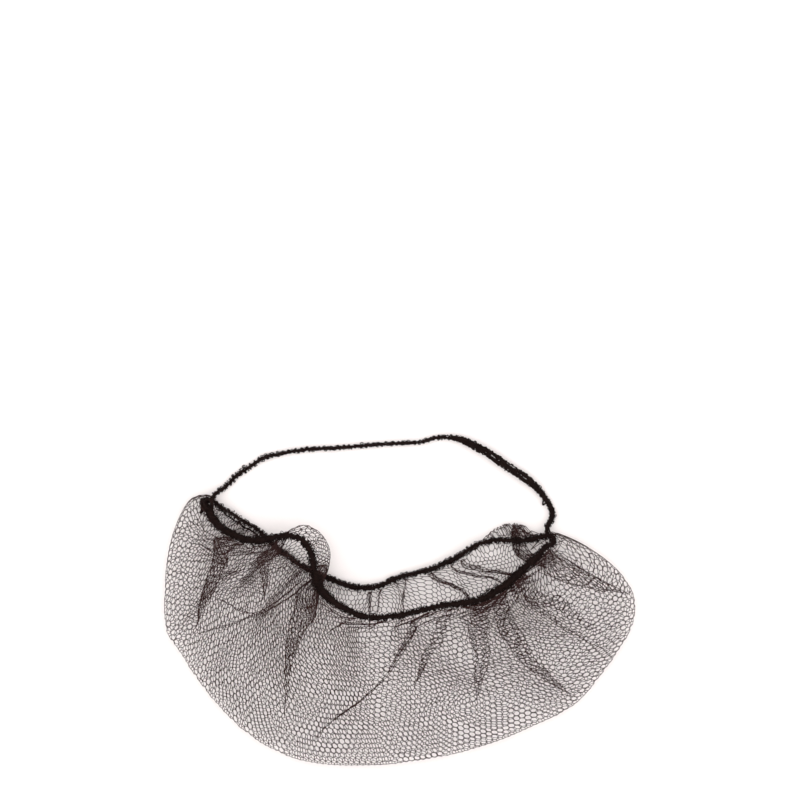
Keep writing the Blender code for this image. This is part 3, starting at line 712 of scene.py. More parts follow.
def creased(points, creases):
    """Shift that folds the net over along creases, square to them in plan."""
    shift = np.zeros_like(points)
    for stops, side in creases:
        stops = np.array(stops) * np.array([POUCH_WIDTH, POUCH_DEPTH, 1.0])
        line = smooth_rows(stops, np.linspace(0, len(stops) - 1, CREASE_STEPS))
        way = unit(np.gradient(line[:, :2], axis=0))
        offset = points[:, None, :2] - line[None, :, :2]
        nearest = np.linalg.norm(offset, axis=2).argmin(axis=1)
        offset = offset[np.arange(len(points)), nearest]
        way = way[nearest]
        beyond = np.abs(np.sum(offset * way, axis=1))
        distance = offset[:, 0] * -way[:, 1] + offset[:, 1] * way[:, 0]
        half = line[nearest, 2] * np.exp(-(beyond / CREASE_ENDS) ** 2) + SMALL
        pull, near = doubled_back(distance, half)
        shift[:, 0] += way[:, 1] * pull
        shift[:, 1] -= way[:, 0] * pull
        shift[:, 2] += CREASE_RISE * half * below_turn(distance, half, side) * near
    return shift


def ways_of(paths, closed, level=UP):
    """Ways along a path or many, across it and square to level, and square to both."""
    if closed:
        along = unit(np.roll(paths, -1, axis=-2) - np.roll(paths, 1, axis=-2))
    else:
        along = unit(np.gradient(paths, axis=-2))
    across = unit(np.cross(along, np.broadcast_to(level, paths.shape)))
    return along, across, np.cross(across, along)


def tube_mesh(name, paths, radii, sides, level=UP, closed=False):
    """Tubes in one mesh: a ring of corners carried along each path, closed or with two ends.

    paths has the shape (tubes, stations, 3) and radii (tubes, stations). The rings start
    square to level, one vector for all tubes or one for each. The UV map has the length
    along a tube in millimetres and the share of the way round it.
    """
    tubes, stations = paths.shape[:2]
    _, across, rise = ways_of(paths, closed, level)
    turn = np.arange(sides) / sides * 2 * np.pi
    ring = across[:, :, None] * np.cos(turn)[:, None] + rise[:, :, None] * np.sin(turn)[:, None]
    corners = paths[:, :, None] + ring * radii[:, :, None, None]
    steps = np.linalg.norm(np.diff(paths, axis=1), axis=2)
    if closed:
        steps = np.append(steps, steps[:, -1:], axis=1)
    length = lengths_run(steps) * 1000

    row = np.arange(stations if closed else stations - 1)[:, None]
    following = (row + 1) % stations
    k, after = np.arange(sides), (np.arange(sides) + 1) % sides
    quads = np.stack([row * sides + k, following * sides + k, following * sides + after,
                      row * sides + after], axis=-1)
    first = (np.arange(tubes) * stations * sides)[:, None, None]
    loops = (quads.reshape(-1, 4) + first).reshape(-1)
    starts = np.arange(len(loops) // 4) * 4
    near, far = length[:, row] + 0 * k, length[:, row + 1] + 0 * k
    way_round = np.stack([k, k, k + 1, k + 1], axis=-1) / sides + 0 * near[..., None]
    uv = np.stack([np.stack([near, far, far, near], axis=-1), way_round], axis=-1).reshape(-1, 2)
    if not closed:
        ends = np.stack([k, (stations - 1) * sides + k[::-1]]) + first
        end_uv = np.zeros((tubes, 2, sides, 2))
        end_uv[:, 1, :, 0] = length[:, -1:]
        starts = np.concatenate([starts, len(loops) + np.arange(2 * tubes) * sides])
        loops = np.concatenate([loops, ends.reshape(-1)])
        uv = np.concatenate([uv, end_uv.reshape(-1, 2)])
    return mesh_object(name, corners.reshape(-1, 3), loops, starts, uv)


def one_tube(name, path, radii, sides, closed):
    """One tube, with one radius or one for each point of its path."""
    radii = np.broadcast_to(radii, len(path))
    return tube_mesh(name, path[None], radii[None], sides, closed=closed)


def mesh_object(name, corners, loops, starts, uv):
    """Mesh object from arrays: corners, corner of each loop, first loop of each face, UVs."""
    mesh = bpy.data.meshes.new(name)
    mesh.vertices.add(len(corners))
    mesh.vertices.foreach_set("co", (corners + MIDDLE).astype(np.float32).ravel())
    mesh.loops.add(len(loops))
    mesh.loops.foreach_set("vertex_index", loops.astype(np.int32))
    mesh.polygons.add(len(starts))
    mesh.polygons.foreach_set("loop_start", starts.astype(np.int32))
    layer = mesh.uv_layers.new(name="UVMap")
    mesh.update(calc_edges=True)
    layer.data.foreach_set("uv", uv.astype(np.float32).ravel())
    mesh.validate()
    mesh.shade_smooth()
    made = bpy.data.objects.new(name, mesh)
    bpy.context.scene.collection.objects.link(made)
    return made


def finish_pieces(pieces, look, node):
    """Give pieces their material, their body and the node that they stand for."""
    for piece in pieces:
        piece.data.materials.append(look)
        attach(piece, "root")
        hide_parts(node)


class Signal:
    """Number or colour on an output of a shader node, with the sums that the looks need."""

    def __init__(self, look, socket):
        self.look, self.socket = look, socket

    def maths(self, operation, first, second):
        node = self.look.node("ShaderNodeMath", {"operation": operation},
                              {0: first, 1: second})
        return Signal(self.look, node.outputs[0])

    def __add__(self, other):
        return self.maths("ADD", self, other)

    __radd__ = __add__

    def __mul__(self, other):
        return self.maths("MULTIPLY", self, other)

    __rmul__ = __mul__

    def sine(self):
        return self.maths("SINE", self, 0.0)


class Look:
    """Material under construction: its nodes, and the shader that they feed."""

    def __init__(self, name):
        self.material = bpy.data.materials.new(name)
        self.material.use_nodes = True
        self.tree = self.material.node_tree
        self.shader = self.tree.nodes["Principled BSDF"]

    def node(self, kind, settings=None, values=None):
        """Add a node: its settings first, then the value or link of each named socket."""
        made = self.tree.nodes.new(kind)
        for key, value in (settings or {}).items():
            setattr(made, key, value)
        for key, value in (values or {}).items():
            self.feed(made.inputs[key], value)
        return made

    def set(self, values):
        """Feed the shader's own sockets, by name."""
        for name, value in values.items():
            self.feed(self.shader.inputs[name], value)

    def feed(self, socket, value):
        """Link a signal to a socket, or set the socket's own value."""
        if isinstance(value, Signal):
            self.tree.links.new(value.socket, socket)
        else:
            socket.default_value = value

    def coordinates(self, output):
        """Coordinates of the named kind, such as Object or UV."""
        node = self.node("ShaderNodeTexCoord")
        return Signal(self, node.outputs[output])

    def noise(self, scale, detail=2.0):
        """Noise on Object coordinates, of about 0.5, with scale in cells a metre."""
        node = self.node("ShaderNodeTexNoise", values={
            "Vector": self.coordinates("Object"), "Scale": scale, "Detail": detail})
        return Signal(self, node.outputs["Fac"])

    def stretched(self, signal, low, high, to_low=0.0, to_high=1.0):
        """The signal with its range from low to high led to another one, and no further."""
        node = self.node("ShaderNodeMapRange", {"clamp": True}, {
            "Value": signal, "From Min": low, "From Max": high,
            "To Min": to_low, "To Max": to_high})
        return Signal(self, node.outputs["Result"])

    def mixed(self, factor, first, second):
        """Colour between the first and the second, by the factor."""
        node = self.node("ShaderNodeMix", {"data_type": "RGBA"})
        self.feed(node.inputs["Factor"], factor)
        colours = [socket for socket in node.inputs if socket.type == "RGBA"]
        self.feed(colours[0], first)
        self.feed(colours[1], second)
        return Signal(self, [socket for socket in node.outputs if socket.type == "RGBA"][0])

    def along_yarn(self):
        """Length along the yarn in millimetres, and share of the way round it."""
        node = self.node("ShaderNodeSeparateXYZ", values={0: self.coordinates("UV")})
        return Signal(self, node.outputs["X"]), Signal(self, node.outputs["Y"])

    def bumps(self, height, strength, distance):
        """Tilt the shader's normal by a height signal, with the distance in metres."""
        node = self.node("ShaderNodeBump", values={
            "Height": height, "Strength": strength, "Distance": distance})
        self.feed(self.shader.inputs["Normal"], Signal(self, node.outputs["Normal"]))


def shade(colour, amount):
    """Colour made lighter or darker, with full alpha."""
    return tuple(min(channel * amount, 1.0) for channel in colour) + (1.0,)


def yarn_look(name, colour, twist, roughness, fleck):
    """Textured yarn: filaments twisted round it, fluff on top, worn patches and pale flecks.

    The filaments are a sine of the length along the yarn plus the way round it, with twist
    in turns a millimetre and three filaments side by side. The colour goes between a dark
    and a light shade by them and by noise at two scales.
    """
    look = Look(name)
    length, way_round = look.along_yarn()
    filaments = ((length * twist + way_round) * (2 * math.pi * 3)).sine() * 0.5 + 0.5
    patches = look.stretched(look.noise(PATCH_SCALE, detail=3.0), 0.32, 0.70)
    fluff = look.stretched(look.noise(FLUFF_SCALE), 0.40, 0.75)
    tone = patches * 0.55 + fluff * 0.25 + filaments * 0.20
    base = look.mixed(tone, shade(colour, DARK_SHADE), shade(colour, LIGHT_SHADE))
    flecks = look.stretched(look.noise(FLECK_SCALE), 0.62, 0.74, 0.0, fleck)
    look.set({
        "Base Color": look.mixed(flecks, base, shade(colour, FLECK_SHADE)),
        "Roughness": look.stretched(tone, 0.0, 1.0, roughness, roughness - 0.18),
        "Specular IOR Level": 0.06,
        "Sheen Weight": 0.02,
        "Sheen Roughness": 0.4,
    })
    look.bumps(filaments * 0.7 + fluff * 0.5, strength=0.6, distance=0.00006)
    return look.material


def beside_ruffle(places, upper):
    """How near places along the mouth are to the middle of a layer's ruffle, from 0 to 1."""
    middle, half, _ = FRONT_RUFFLE if upper else BACK_RUFFLE
    return np.exp(-((places / ROWS - middle) / half / 0.75) ** 2)


def column_tracks(places, upper):
    """Where the columns of the net run, from the fold to the edge.

    A column crosses the lines of equal share almost squarely. For each step of share its
    place moves by minus the part of the section's way that lies along such a line. At the
    edge the gaps between columns are then evened out over their neighbours, closer beside
    the front ruffle and much wider in the back one, where the cells stay open.
    """
    rows = FRONT if upper else BACK
    shares = np.linspace(1, 0, COLUMN_STEPS + 1)
    track = [places]
    for share in shares[:-1]:
        at = track[-1]
        across = smooth_rows(rows, at) - smooth_rows(FOLD, at)
        line = (step_along(rows, at, 0.1) * (1 - share) + step_along(FOLD, at, 0.1) * share) / 0.2
        along = np.sum(across[:, :2] * line[:, :2], axis=1)
        slip = -along / np.maximum(np.sum(line[:, :2] ** 2, axis=1), SMALL)
        ends = smooth_step(np.minimum(at, ROWS - at) / SQUARE_ROWS)
        step = slip * SQUARENESS / COLUMN_STEPS * ends * smooth_step(share / SQUARE_SHARE)
        track.append(at + np.clip(step, -SLIP_AT_MOST, SLIP_AT_MOST))
    track = np.stack(track, axis=1)
    fine = np.linspace(0, ROWS, LANE_STEPS + 1)
    run = lengths_run(np.linalg.norm(np.diff(smooth_rows(rows, fine), axis=0), axis=1))
    gaps = np.diff(np.interp(track[:, -1], fine, run))
    weights = np.exp(-(np.arange(-EVENING_REACH, EVENING_REACH + 1) / EVENING) ** 2)
    gaps = np.pad(gaps, EVENING_REACH, mode="reflect")
    gaps = np.convolve(gaps, weights / weights.sum(), mode="valid")
    plain = gaps * (1 - EVENNESS) + gaps.mean() * EVENNESS
    wider = FRONT_RUFFLE_GAPS if upper else BACK_RUFFLE_GAPS
    gaps = plain
    for _ in range(4):
        total = lengths_run(gaps)
        even = np.interp(total * run[-1] / total[-1], run, fine)
        gaps = plain * (1 + wider * beside_ruffle(even[1:], upper))
    return track + (even - track[:, -1])[:, None] * (1 - shares) ** 1.1, shares


def closer_lines(tracks, shares, upper):
    """How near to the place with the closest lines of cells each point is, from 0."""
    if upper:
        return beside_ruffle(tracks, True) * (1 - smooth_step(shares / FRONT_CLOSER_ENDS))
    closer = beside_ruffle(tracks + BACK_CLOSER_ROWS, False)
    closer = closer * (1 - smooth_step(shares / BACK_CLOSER_ENDS))
    return closer * BACK_CLOSER * smooth_step((shares - MOUTH_STARTS) / 0.05)


def net_lattice(settings):
    """Places and shares of the joints of the honeycomb, on both layers.

    Columns start at equal steps along the chin fold. On each column the lines of cells are
    equal steps of length on the net apart, counted from near the fold, up over the front
    layer and down over the back one. Between the fold and the edge the length is taken in
    plan, so the lines of the two layers lie over each other. In the front ruffle, and in the
    mouth beside the back one, they are closer.
    Columns drift a little to the sides, and keep a least gap so that none of them cross.
    Every second joint of a line lies a sixth of a step higher, the others a sixth lower,
    which makes the hexagons.
    """
    fine = np.linspace(0, ROWS, FOLD_STEPS + 1)
    fold = bag_points(fine, np.full(len(fine), COUNTED_AT), True)
    run = lengths_run(np.linalg.norm(np.diff(fold, axis=0), axis=1))
    columns = int(run[-1] / (settings.cell_width / 2))
    spots = np.arange(columns + 1) / columns * run[-1]
    places = np.interp(spots, run, fine)
    column = np.arange(len(places))
    step = settings.cell_height
    wander = 0.9 * waves(spots[:, None], length=0.06, seed=3)
    ends = smooth_step(np.minimum(places, ROWS - places) / FREE_ROWS)[:, None]

    layers = []
    for upper in (True, False):
        tracks, shares = column_tracks(places, upper)
        drift = np.stack(np.broadcast_arrays(spots[:, None], (1 - shares) * 0.08), axis=-1)
        drift = waves(drift, length=0.05, seed=31 if upper else 37) * 0.15
        tracks = tracks + drift * smooth_step((1 - shares) / 0.5) * ends
        gaps = np.maximum(np.diff(tracks, axis=0), LEAST_GAP)
        tracks[1:] = tracks[0] + np.cumsum(gaps, axis=0) * (ROWS / gaps.sum(axis=0))
        steps = np.diff(bag_points(tracks, tracks * 0 + shares, upper), axis=1)
        in_plan = smooth_step((shares - 0.1) / 0.2) * (1 - smooth_step((shares - 0.78) / 0.1))
        steps[..., 2] *= 1 - in_plan[1:]
        closer = closer_lines(tracks[:, 1:], shares[1:], upper)
        length = lengths_run(np.linalg.norm(steps, axis=2) * (1 + CLOSER_LINES * closer))
        lines = int(length[:, -1].max() / step) + 3
        line = np.arange(-2, lines) if upper else np.arange(-lines, 3)
        zigzag = np.where((column[:, None] + line[None]) % 2 == 0, step / 6, -step / 6)
        reach = (line[None] + wander[:, None]) * step + zigzag
        wanted = reach if upper else -reach
        share = np.array([np.interp(wanted[i], length[i], shares) for i in column])
        place = np.array([np.interp(wanted[i], length[i], tracks[i]) for i in column])
        layers.append((line, place, share, wanted >= 0, length[:, -1:] - wanted))
    return layers


def gather_sines(places, table):
    """Sum of the sines in a table of gathers."""
    return sum(moved * np.sin(places * 2 * np.pi * turns + wander * np.sin(places * rate + start))
               for moved, turns, wander, rate, start in table)


def gathered(places, left, upper):
    """Places along the mouth, drawn together into small gathers beside the edge.

    The back layer has fewer of them, and hardly any in its ruffle, where the net is spread.
    """
    near = np.exp(-np.maximum(left, 0) / FINE_GATHER_REACH)
    far = np.exp(-np.maximum(left, 0) / COARSE_GATHER_REACH)
    fine = gather_sines(places, FINE_GATHERS)
    coarse = gather_sines(places, COARSE_GATHERS if upper else COARSE_GATHERS[:1])
    ends = smooth_step(np.minimum(places, ROWS - places) / FREE_ROWS)
    spread = 1 - BACK_RUFFLE_SPREAD * beside_ruffle(places, False)
    return places + (fine * near + coarse * far) * ends * (1.0 if upper else BACK_GATHERED * spread)


def net_joints(place, share, left, upper, settings):
    """Where the joints of one layer lie, with gathers, ripples, pleats and unevenness."""
    spots = gathered(place, left, upper)
    ends = np.minimum(spots, ROWS - spots)
    near = np.maximum(left, 0)
    ripple = np.sin(spots / ROWS * GATHERS * 2 * np.pi) + 0.6 * np.sin(spots * 2 * np.pi * 1.9)
    fade = np.exp(-(near / GATHER_REACH) ** 2)
    fade = fade * smooth_step(near / GATHER_STARTS) * smooth_step(ends / 4)
    spots, lift = pleated(spots, share, FRONT_PLEATS if upper else BACK_PLEATS, upper)
    even = bag_points(place, share, upper).reshape(-1, 3)[:, :2]
    points = bag_points(spots, share, upper)
    points[..., 2] += lift + upper * GATHER_DEPTH * 0.7 * ripple * fade
    flat = points.reshape(-1, 3)
    keep = (smooth_step((1 - share) / FOLD_KEEPS) * smooth_step(ends / 1.5)).reshape(-1, 1)
    seed = 11 if upper else 23
    wander = np.stack([waves(even, length=0.026, seed=seed + k)
                       + waves(even, length=0.006, seed=seed + 5 + k) * 0.30
                       for k in (0, 1)], axis=1)
    if upper:
        flat = flat + creased(flat, FRONT_CREASES)
        flat[:, 2] += waves(even, length=0.022, seed=seed + 9) * 0.0006 * keep[:, 0]
    flat[:, :2] += wander * settings.unevenness * keep
    flat[:, 2] = np.maximum(flat[:, 2], NET_WALL / 2)
    return flat.reshape(points.shape)


def net_strands(settings):
    """Ends of every strand of the net, whether it is two-ply, and whether it is in front.

    A strand joins two neighbours on a line of cells, or a raised joint to the lowered one
    above it. Strands with both ends beyond the edge are left out, and one that crosses the
    fold goes by its first end.
    """
    joints = {}
    for (line, place, share, own, left), upper in zip(net_lattice(settings), (True, False)):
        points = net_joints(place, share, left, upper, settings)
        for position, number in enumerate(line.tolist()):
            there = own[:, position]
            spots, inside, front = joints.setdefault(number, (
                np.zeros((len(there), 3)), np.zeros(len(there), bool), np.zeros(len(there), bool)))
            spots[there] = points[there, position]
            inside[there] = left[there, position] > 0
            front[there] = upper
    found = []

    def add(start, end, keep, doubled, front):
        found.append((start[keep], end[keep], np.full(int(keep.sum()), doubled), front[keep]))

    for number, (points, inside, front) in joints.items():
        add(points[:-1], points[1:], inside[:-1] | inside[1:], False, front[:-1])
        if number + 1 in joints:
            above, there, _ = joints[number + 1]
            raised = (np.arange(len(points)) + number) % 2 == 0
            add(points, above, raised & (inside | there), True, front)
    return tuple(np.concatenate(part) for part in zip(*found))


class BEARDCOVER_OT_net(bpy.types.Operator):
    """Lay the honeycomb net of both layers, strand by strand"""

    bl_idname = "beard_cover.net"
    bl_label = "Net"

    def execute(self, context):
        settings = context.scene.beard_cover.net
        look = yarn_look("net_yarn", settings.colour, twist=0.9, roughness=0.62, fleck=0.35)
        start, end, doubled, front = net_strands(settings)
        kept = np.linalg.norm(end - start, axis=1) > LEAST_STRAND
        start, end, doubled, front = start[kept], end[kept], doubled[kept], front[kept]
        paths = start[:, None] + (end - start)[:, None] * STRAND_STATIONS[None, :, None]
        thick = settings.strand / 2 * np.where(doubled, 1.12, 0.96)
        thick = thick * (1 + 0.14 * waves(start, length=0.006, seed=71))
        radii = thick[:, None] * np.array([settings.joint, 1.0, 1.0, settings.joint])
        part = np.digitize((start[:, 0] + end[:, 0]) / 2, NET_CUTS)
        pieces = []
        for layer, on_layer in (("front", front), ("back", ~front)):
            for number, side in enumerate(NET_PARTS):
                chosen = on_layer & (part == number)
                pieces.append(tube_mesh(f"net_{layer}_{side}", paths[chosen], radii[chosen],
                                        LOOP_SIDES, STRAND_LEVEL))
        finish_pieces(pieces, look, "net_pouch")
        return {"FINISHED"}


def even_steps(path, step, closed):
    """A path with its further columns at equal steps, and the length run at each of them."""
    if closed:
        path = np.vstack([path, path[:1]])
    run = lengths_run(np.linalg.norm(np.diff(path[:, :3], axis=0), axis=1))
    count = int(run[-1] / step)
    wanted = np.arange(count + (0 if closed else 1)) / count * run[-1]
    return np.stack([np.interp(wanted, run, column) for column in path.T], axis=1), wanted


def round_trip(run, closed):
    """Length of a path, and its points set out round a circle of that length.

    Noise that is taken on the circle meets itself where a closed path does.
    """
    total = run[-1] + (run[1] - run[0] if closed else 0)
    circle = 2 * np.pi * run / total
    return total, np.stack([np.cos(circle), np.sin(circle)], axis=1) * total / (2 * np.pi)


def wound_yarn(path, run, closed, reach, pitch, phase, seed):
    """A yarn wound round a path: reach times a way that turns about the path."""
    _, across, rise = ways_of(path, closed)
    total, around = round_trip(run, closed)
    turns = max(round(total / pitch), 1)
    angle = 2 * np.pi * turns * run / total + phase
    angle = angle + 0.7 * waves(around, length=0.006, seed=seed)
    reach = reach * (1 + 0.16 * waves(around, length=0.0035, seed=seed + 40))
    way = across * np.cos(angle)[:, None] + rise * np.sin(angle)[:, None]
    return path + way * reach[:, None]


def small_loops(name, path, closed, count, radius, height, thickness, level, seed):
    """Small loops of yarn that stand out from a path, as one piece.

    Each is an arch: it goes along the path by its width and out by height * sin, in a way
    square to the path that is the more level the larger level is. It stays above the floor.
    """
    rng = np.random.default_rng(seed)
    along, across, rise = ways_of(path, closed)
    spots = (np.arange(count) + rng.uniform(0.0, 1.0, count)) / count * (len(path) - 1)
    spots = np.clip(spots.astype(int), 1, len(path) - 2)
    side = np.where(rng.uniform(size=count) < 0.5, 0.0, np.pi)
    angle = side + rng.normal(0, 1.4 * (1 - level), count)
    way = across[spots] * np.cos(angle)[:, None] + rise[spots] * np.sin(angle)[:, None]
    width = rng.uniform(0.0007, 0.0019, count)
    tall = height * rng.uniform(0.35, 1.2, count)
    t = np.linspace(0, 1, 7)
    out = radius[spots][:, None] * 0.80 + tall[:, None] * np.sin(np.pi * t) ** 0.7
    lean = rng.normal(0, 0.00025, (count, 3))
    paths = (path[spots][:, None] + way[:, None] * out[:, :, None]
             + along[spots][:, None] * (width[:, None] * (t - 0.5))[:, :, None]
             + lean[:, None] * np.sin(np.pi * t)[None, :, None])
    paths[..., 2] = np.maximum(paths[..., 2], thickness)
    radii = np.repeat(thickness / 2 * rng.uniform(0.7, 1.3, (count, 1)), len(t), axis=1)
    return tube_mesh(name, paths, radii, LOOP_SIDES, np.cross(along[spots], way)[:, None])


def scalloped_yarn(path, run, closed, side, base, height, pitch, seed):
    """A yarn that stands out from a path in a row of round loops, on one side.

    It goes back and forth along the path by 0.36 pitch * sin and out by
    base + height * (1 - cos) / 2 once each pitch, both a little unevenly.
    """
    along, across, rise = ways_of(path, closed)
    total, around = round_trip(run, closed)
    phase = 2 * np.pi * max(round(total / pitch), 1) * run / total
    phase = phase + 1.1 * waves(around, length=0.011, seed=seed)
    uneven = 1 + 0.30 * waves(around, length=0.006, seed=seed + 20)
    out = base + height * uneven * (1 - np.cos(phase)) / 2
    tilt = 0.5 * waves(around, length=0.005, seed=seed + 33)
    way = across * (np.cos(tilt) * side)[:, None] + rise * np.sin(tilt)[:, None]
    back = 0.36 * pitch * np.sin(phase) * uneven
    return path + way * out[:, None] + along * back[:, None]


def kept_above(path, height):
    """The same path, nowhere lower than a height."""
    return np.column_stack([path[:, :2], np.maximum(path[:, 2], height)])


def knot_path(middle, size, rates, seed):
    """A tangled closed path in a box of the given half size: sines of unlike rates."""
    t = np.linspace(0, 2 * np.pi, 420, endpoint=False)[:, None]
    phases = np.random.default_rng(seed).uniform(0, 2 * np.pi, 3)
    return middle + size * np.sin(t * np.array(rates) + phases) * (1 + 0.15 * np.sin(t * 5 + seed))


def edge_run():
    """Middle line of the mouth edge, once round; then its half thickness and its lace."""
    places = np.linspace(0, ROWS, 700)
    front, back = smooth_rows(FRONT, places), smooth_rows(BACK, places)
    front_half, back_half, lace = (
        np.interp(run[:, 0] / POUCH_WIDTH, *table) for run, table in (
            (front, FRONT_EDGE_HALF), (back, BACK_EDGE_HALF), (back, BACK_LACE)))
    turn = np.linspace(0, np.pi, 30)[1:-1, None]
    share = turn[:, 0] / np.pi
    arcs = []
    for number in (0, 1):
        centre, outward, to_front = end_loop(number)
        arc = centre + LOOP_RADIUS * (to_front * np.cos(turn) + outward * np.sin(turn))
        half = front_half[-number] * (1 - share) + back_half[-number] * share
        arcs.append(np.column_stack([arc, half, 0 * half]))
    return np.concatenate([np.column_stack([front, front_half, 0 * front_half]), arcs[1],
                           np.column_stack([back, back_half, lace])[::-1], arcs[0][::-1]])


class BEARDCOVER_OT_edge(bpy.types.Operator):
    """Make the elastic edge of the mouth with its wound yarn, small loops and end knot"""

    bl_idname = "beard_cover.edge"
    bl_label = "Mouth edge"

    def execute(self, context):
        settings = context.scene.beard_cover.edge
        look = yarn_look("edge_yarn", settings.colour, twist=0.5, roughness=0.95, fleck=0.20)
        track, run = even_steps(edge_run(), EDGE_STEP, True)
        path, half, lace = track[:, :3], track[:, 3], track[:, 4]
        around = round_trip(run, False)[1]
        half = half * (0.90 + 0.12 * waves(around, length=0.012, seed=61)
                       + 0.15 * waves(around, length=0.0045, seed=62))
        pieces = [one_tube("edge_core", path, half * EDGE_CORE, CORE_SIDES, True)]
        thick = settings.yarn / 2 * (0.75 + 0.25 * half / 0.0016)
        for number in range(6):
            yarn = wound_yarn(path, run, True, reach=half * (EDGE_WOUND + 0.05 * (number % 3)),
                              pitch=0.0048 + 0.0009 * number, phase=number * 1.05, seed=number)
            pieces.append(one_tube(f"edge_yarn_{number + 1}", yarn, thick, YARN_SIDES, True))
        tall = np.clip(0.00055 + 0.0006 * (0.0022 - half) / 0.0012, 0.0004, 0.0010)
        for number in range(4):
            side, laced = ((1.0, 0.15), (-1.0, 1.0))[number % 2]
            yarn = scalloped_yarn(path, run, True, side, base=half * EDGE_WOUND,
                                  height=tall + lace * laced,
                                  pitch=0.0022 + 0.0003 * number, seed=number + 90)
            pieces.append(one_tube(f"edge_picots_{number + 1}", kept_above(yarn, 0.0004),
                                   EDGE_PICOT, YARN_SIDES, True))
        _, across, _ = ways_of(path, True)
        below = lace * (1.15 + 0.2 * waves(around, length=0.007, seed=64))
        selvage = path - across * below[:, None]
        pieces.append(one_tube("edge_selvage", selvage, SELVAGE, YARN_SIDES, True))
        pieces.append(small_loops("edge_loops", path, True, settings.loops, half, settings.loop,
                                  EDGE_LOOP, level=0.6, seed=5))
        for number, rates in enumerate(KNOT_RATES):
            knot = knot_path(end_loop(0)[0] + KNOT_SHIFT, KNOT_HALF, rates, number + 1)
            pieces.append(one_tube(f"end_knot_{number + 1}", kept_above(knot, 0.0007),
                                   KNOT_YARN, YARN_SIDES, True))
        finish_pieces(pieces, look, "mouth_edge")
        return {"FINISHED"}


def band_run():
    """Middle line of the headband with its feet at the end loops; fourth, how doubled it is."""
    points = np.column_stack([
        BAND_ROUTE[:, 0] * POUCH_WIDTH, POUCH_DEPTH + BAND_ROUTE[:, 1] * BAND_RISE,
        np.full(len(BAND_ROUTE), BAND_RADIUS)])
    doubled = np.concatenate([[0, 0], BAND_ROUTE[:, 2], [0.35, 0.25]])
    feet = []
    for row, number in ((0, 0), (-1, 1)):
        way = unit(end_loop(number)[2] * np.array([-1, -1, 0]))
        feet.append([BACK[row] + way * SEAT * 0.5, BACK[row] + way * (SEAT + 2 * BAND_RADIUS)])
    points = np.vstack([feet[0], points, feet[1][::-1]])
    track = smooth_rows(np.column_stack([points, doubled]), np.linspace(0, len(points) - 1, 1500))
    track[:, 3] = np.clip(track[:, 3], 0, 1)
    track[:, 2] = (np.maximum(track[:, 2], BAND_RADIUS)
                   + (BAND_DOUBLED_RADIUS - BAND_RADIUS) * track[:, 3])
    return track


class BEARDCOVER_OT_headband(bpy.types.Operator):
    """Make the headband: elastic cores, covering yarns, doubled stretch and small loops"""

    bl_idname = "beard_cover.headband"
    bl_label = "Headband"

    def execute(self, context):
        settings = context.scene.beard_cover.band
        look = yarn_look("band_yarn", settings.colour, twist=0.6, roughness=0.95, fleck=0.20)
        track, run = even_steps(band_run(), BAND_STEP, False)
        path, double, at = track[:, :3], track[:, 3], run[:, None]
        knots = (1 + 0.20 * waves(at, length=0.014, seed=81)
                 + 0.14 * waves(at, length=0.004, seed=82))
        apart = BAND_APART * double * (1 + 0.35 * waves(at, length=0.020, seed=83))
        _, across, _ = ways_of(path, False)
        outward = np.sign(np.sum(across * (path - BAND_INSIDE), axis=1))[:, None]
        inner = path - across * outward * BAND_INWARDS * (1 - double)[:, None]
        pieces = []
        for number, side, chosen in ((1, 1.0, slice(None)), (2, -1.0, double > 0.06)):
            ply = inner[chosen] + across[chosen] * (side * apart[chosen])[:, None]
            half = (BAND_HALF + BAND_HALF_DOUBLED * double[chosen]) * knots[chosen]
            if number == 2:
                ends = np.minimum(np.arange(len(half)), np.arange(len(half))[::-1])
                half = half * (0.25 + 0.75 * smooth_step(ends / 22))
            pieces.append(one_tube(f"band_core_{number}", ply, half * BAND_CORE, CORE_SIDES,
                                   False))
            thick = settings.yarn / 2 * (0.8 + 0.5 * double[chosen])
            for turn in range(3):
                yarn = wound_yarn(ply, run[chosen], False, reach=half * BAND_WOUND,
                                  pitch=0.0042 + 0.0008 * turn, phase=turn * 2.1,
                                  seed=turn + 7 * number)
                pieces.append(one_tube(f"band_yarn_{number}_{turn + 1}", yarn, thick,
                                       YARN_SIDES, False))
        knotty = np.exp(-((path[:, 0] / POUCH_WIDTH - KNOTTY_AT) / KNOTTY_REACH) ** 2)
        share = 0.68 + 0.75 * knotty - 0.25 * double
        for number, (side, height, pitch) in enumerate(BAND_PICOTS):
            yarn = scalloped_yarn(path, run, False, side * outward[0, 0],
                                  base=0.00050 + 0.00140 * double, height=height * share,
                                  pitch=pitch, seed=number + 50)
            pieces.append(one_tube(f"band_picots_{number + 1}", kept_above(yarn, 0.0003),
                                   BAND_PICOT, YARN_SIDES, False))
        half = (BAND_HALF + BAND_LOOPS_DOUBLED * double) * knots
        pieces.append(small_loops("band_loops", path, False, settings.loops, half,
                                  BAND_LOOP_REACH, BAND_LOOP, level=0.8, seed=8))
        t = np.linspace(0, 1, 24)[:, None]
        tail = TAIL_START + t * TAIL_WAY + np.sin(np.pi * t) * TAIL_BOW
        pieces.append(one_tube("band_tail", tail, TAIL_YARN, YARN_SIDES, False))
        finish_pieces(pieces, look, "headband")
        return {"FINISHED"}


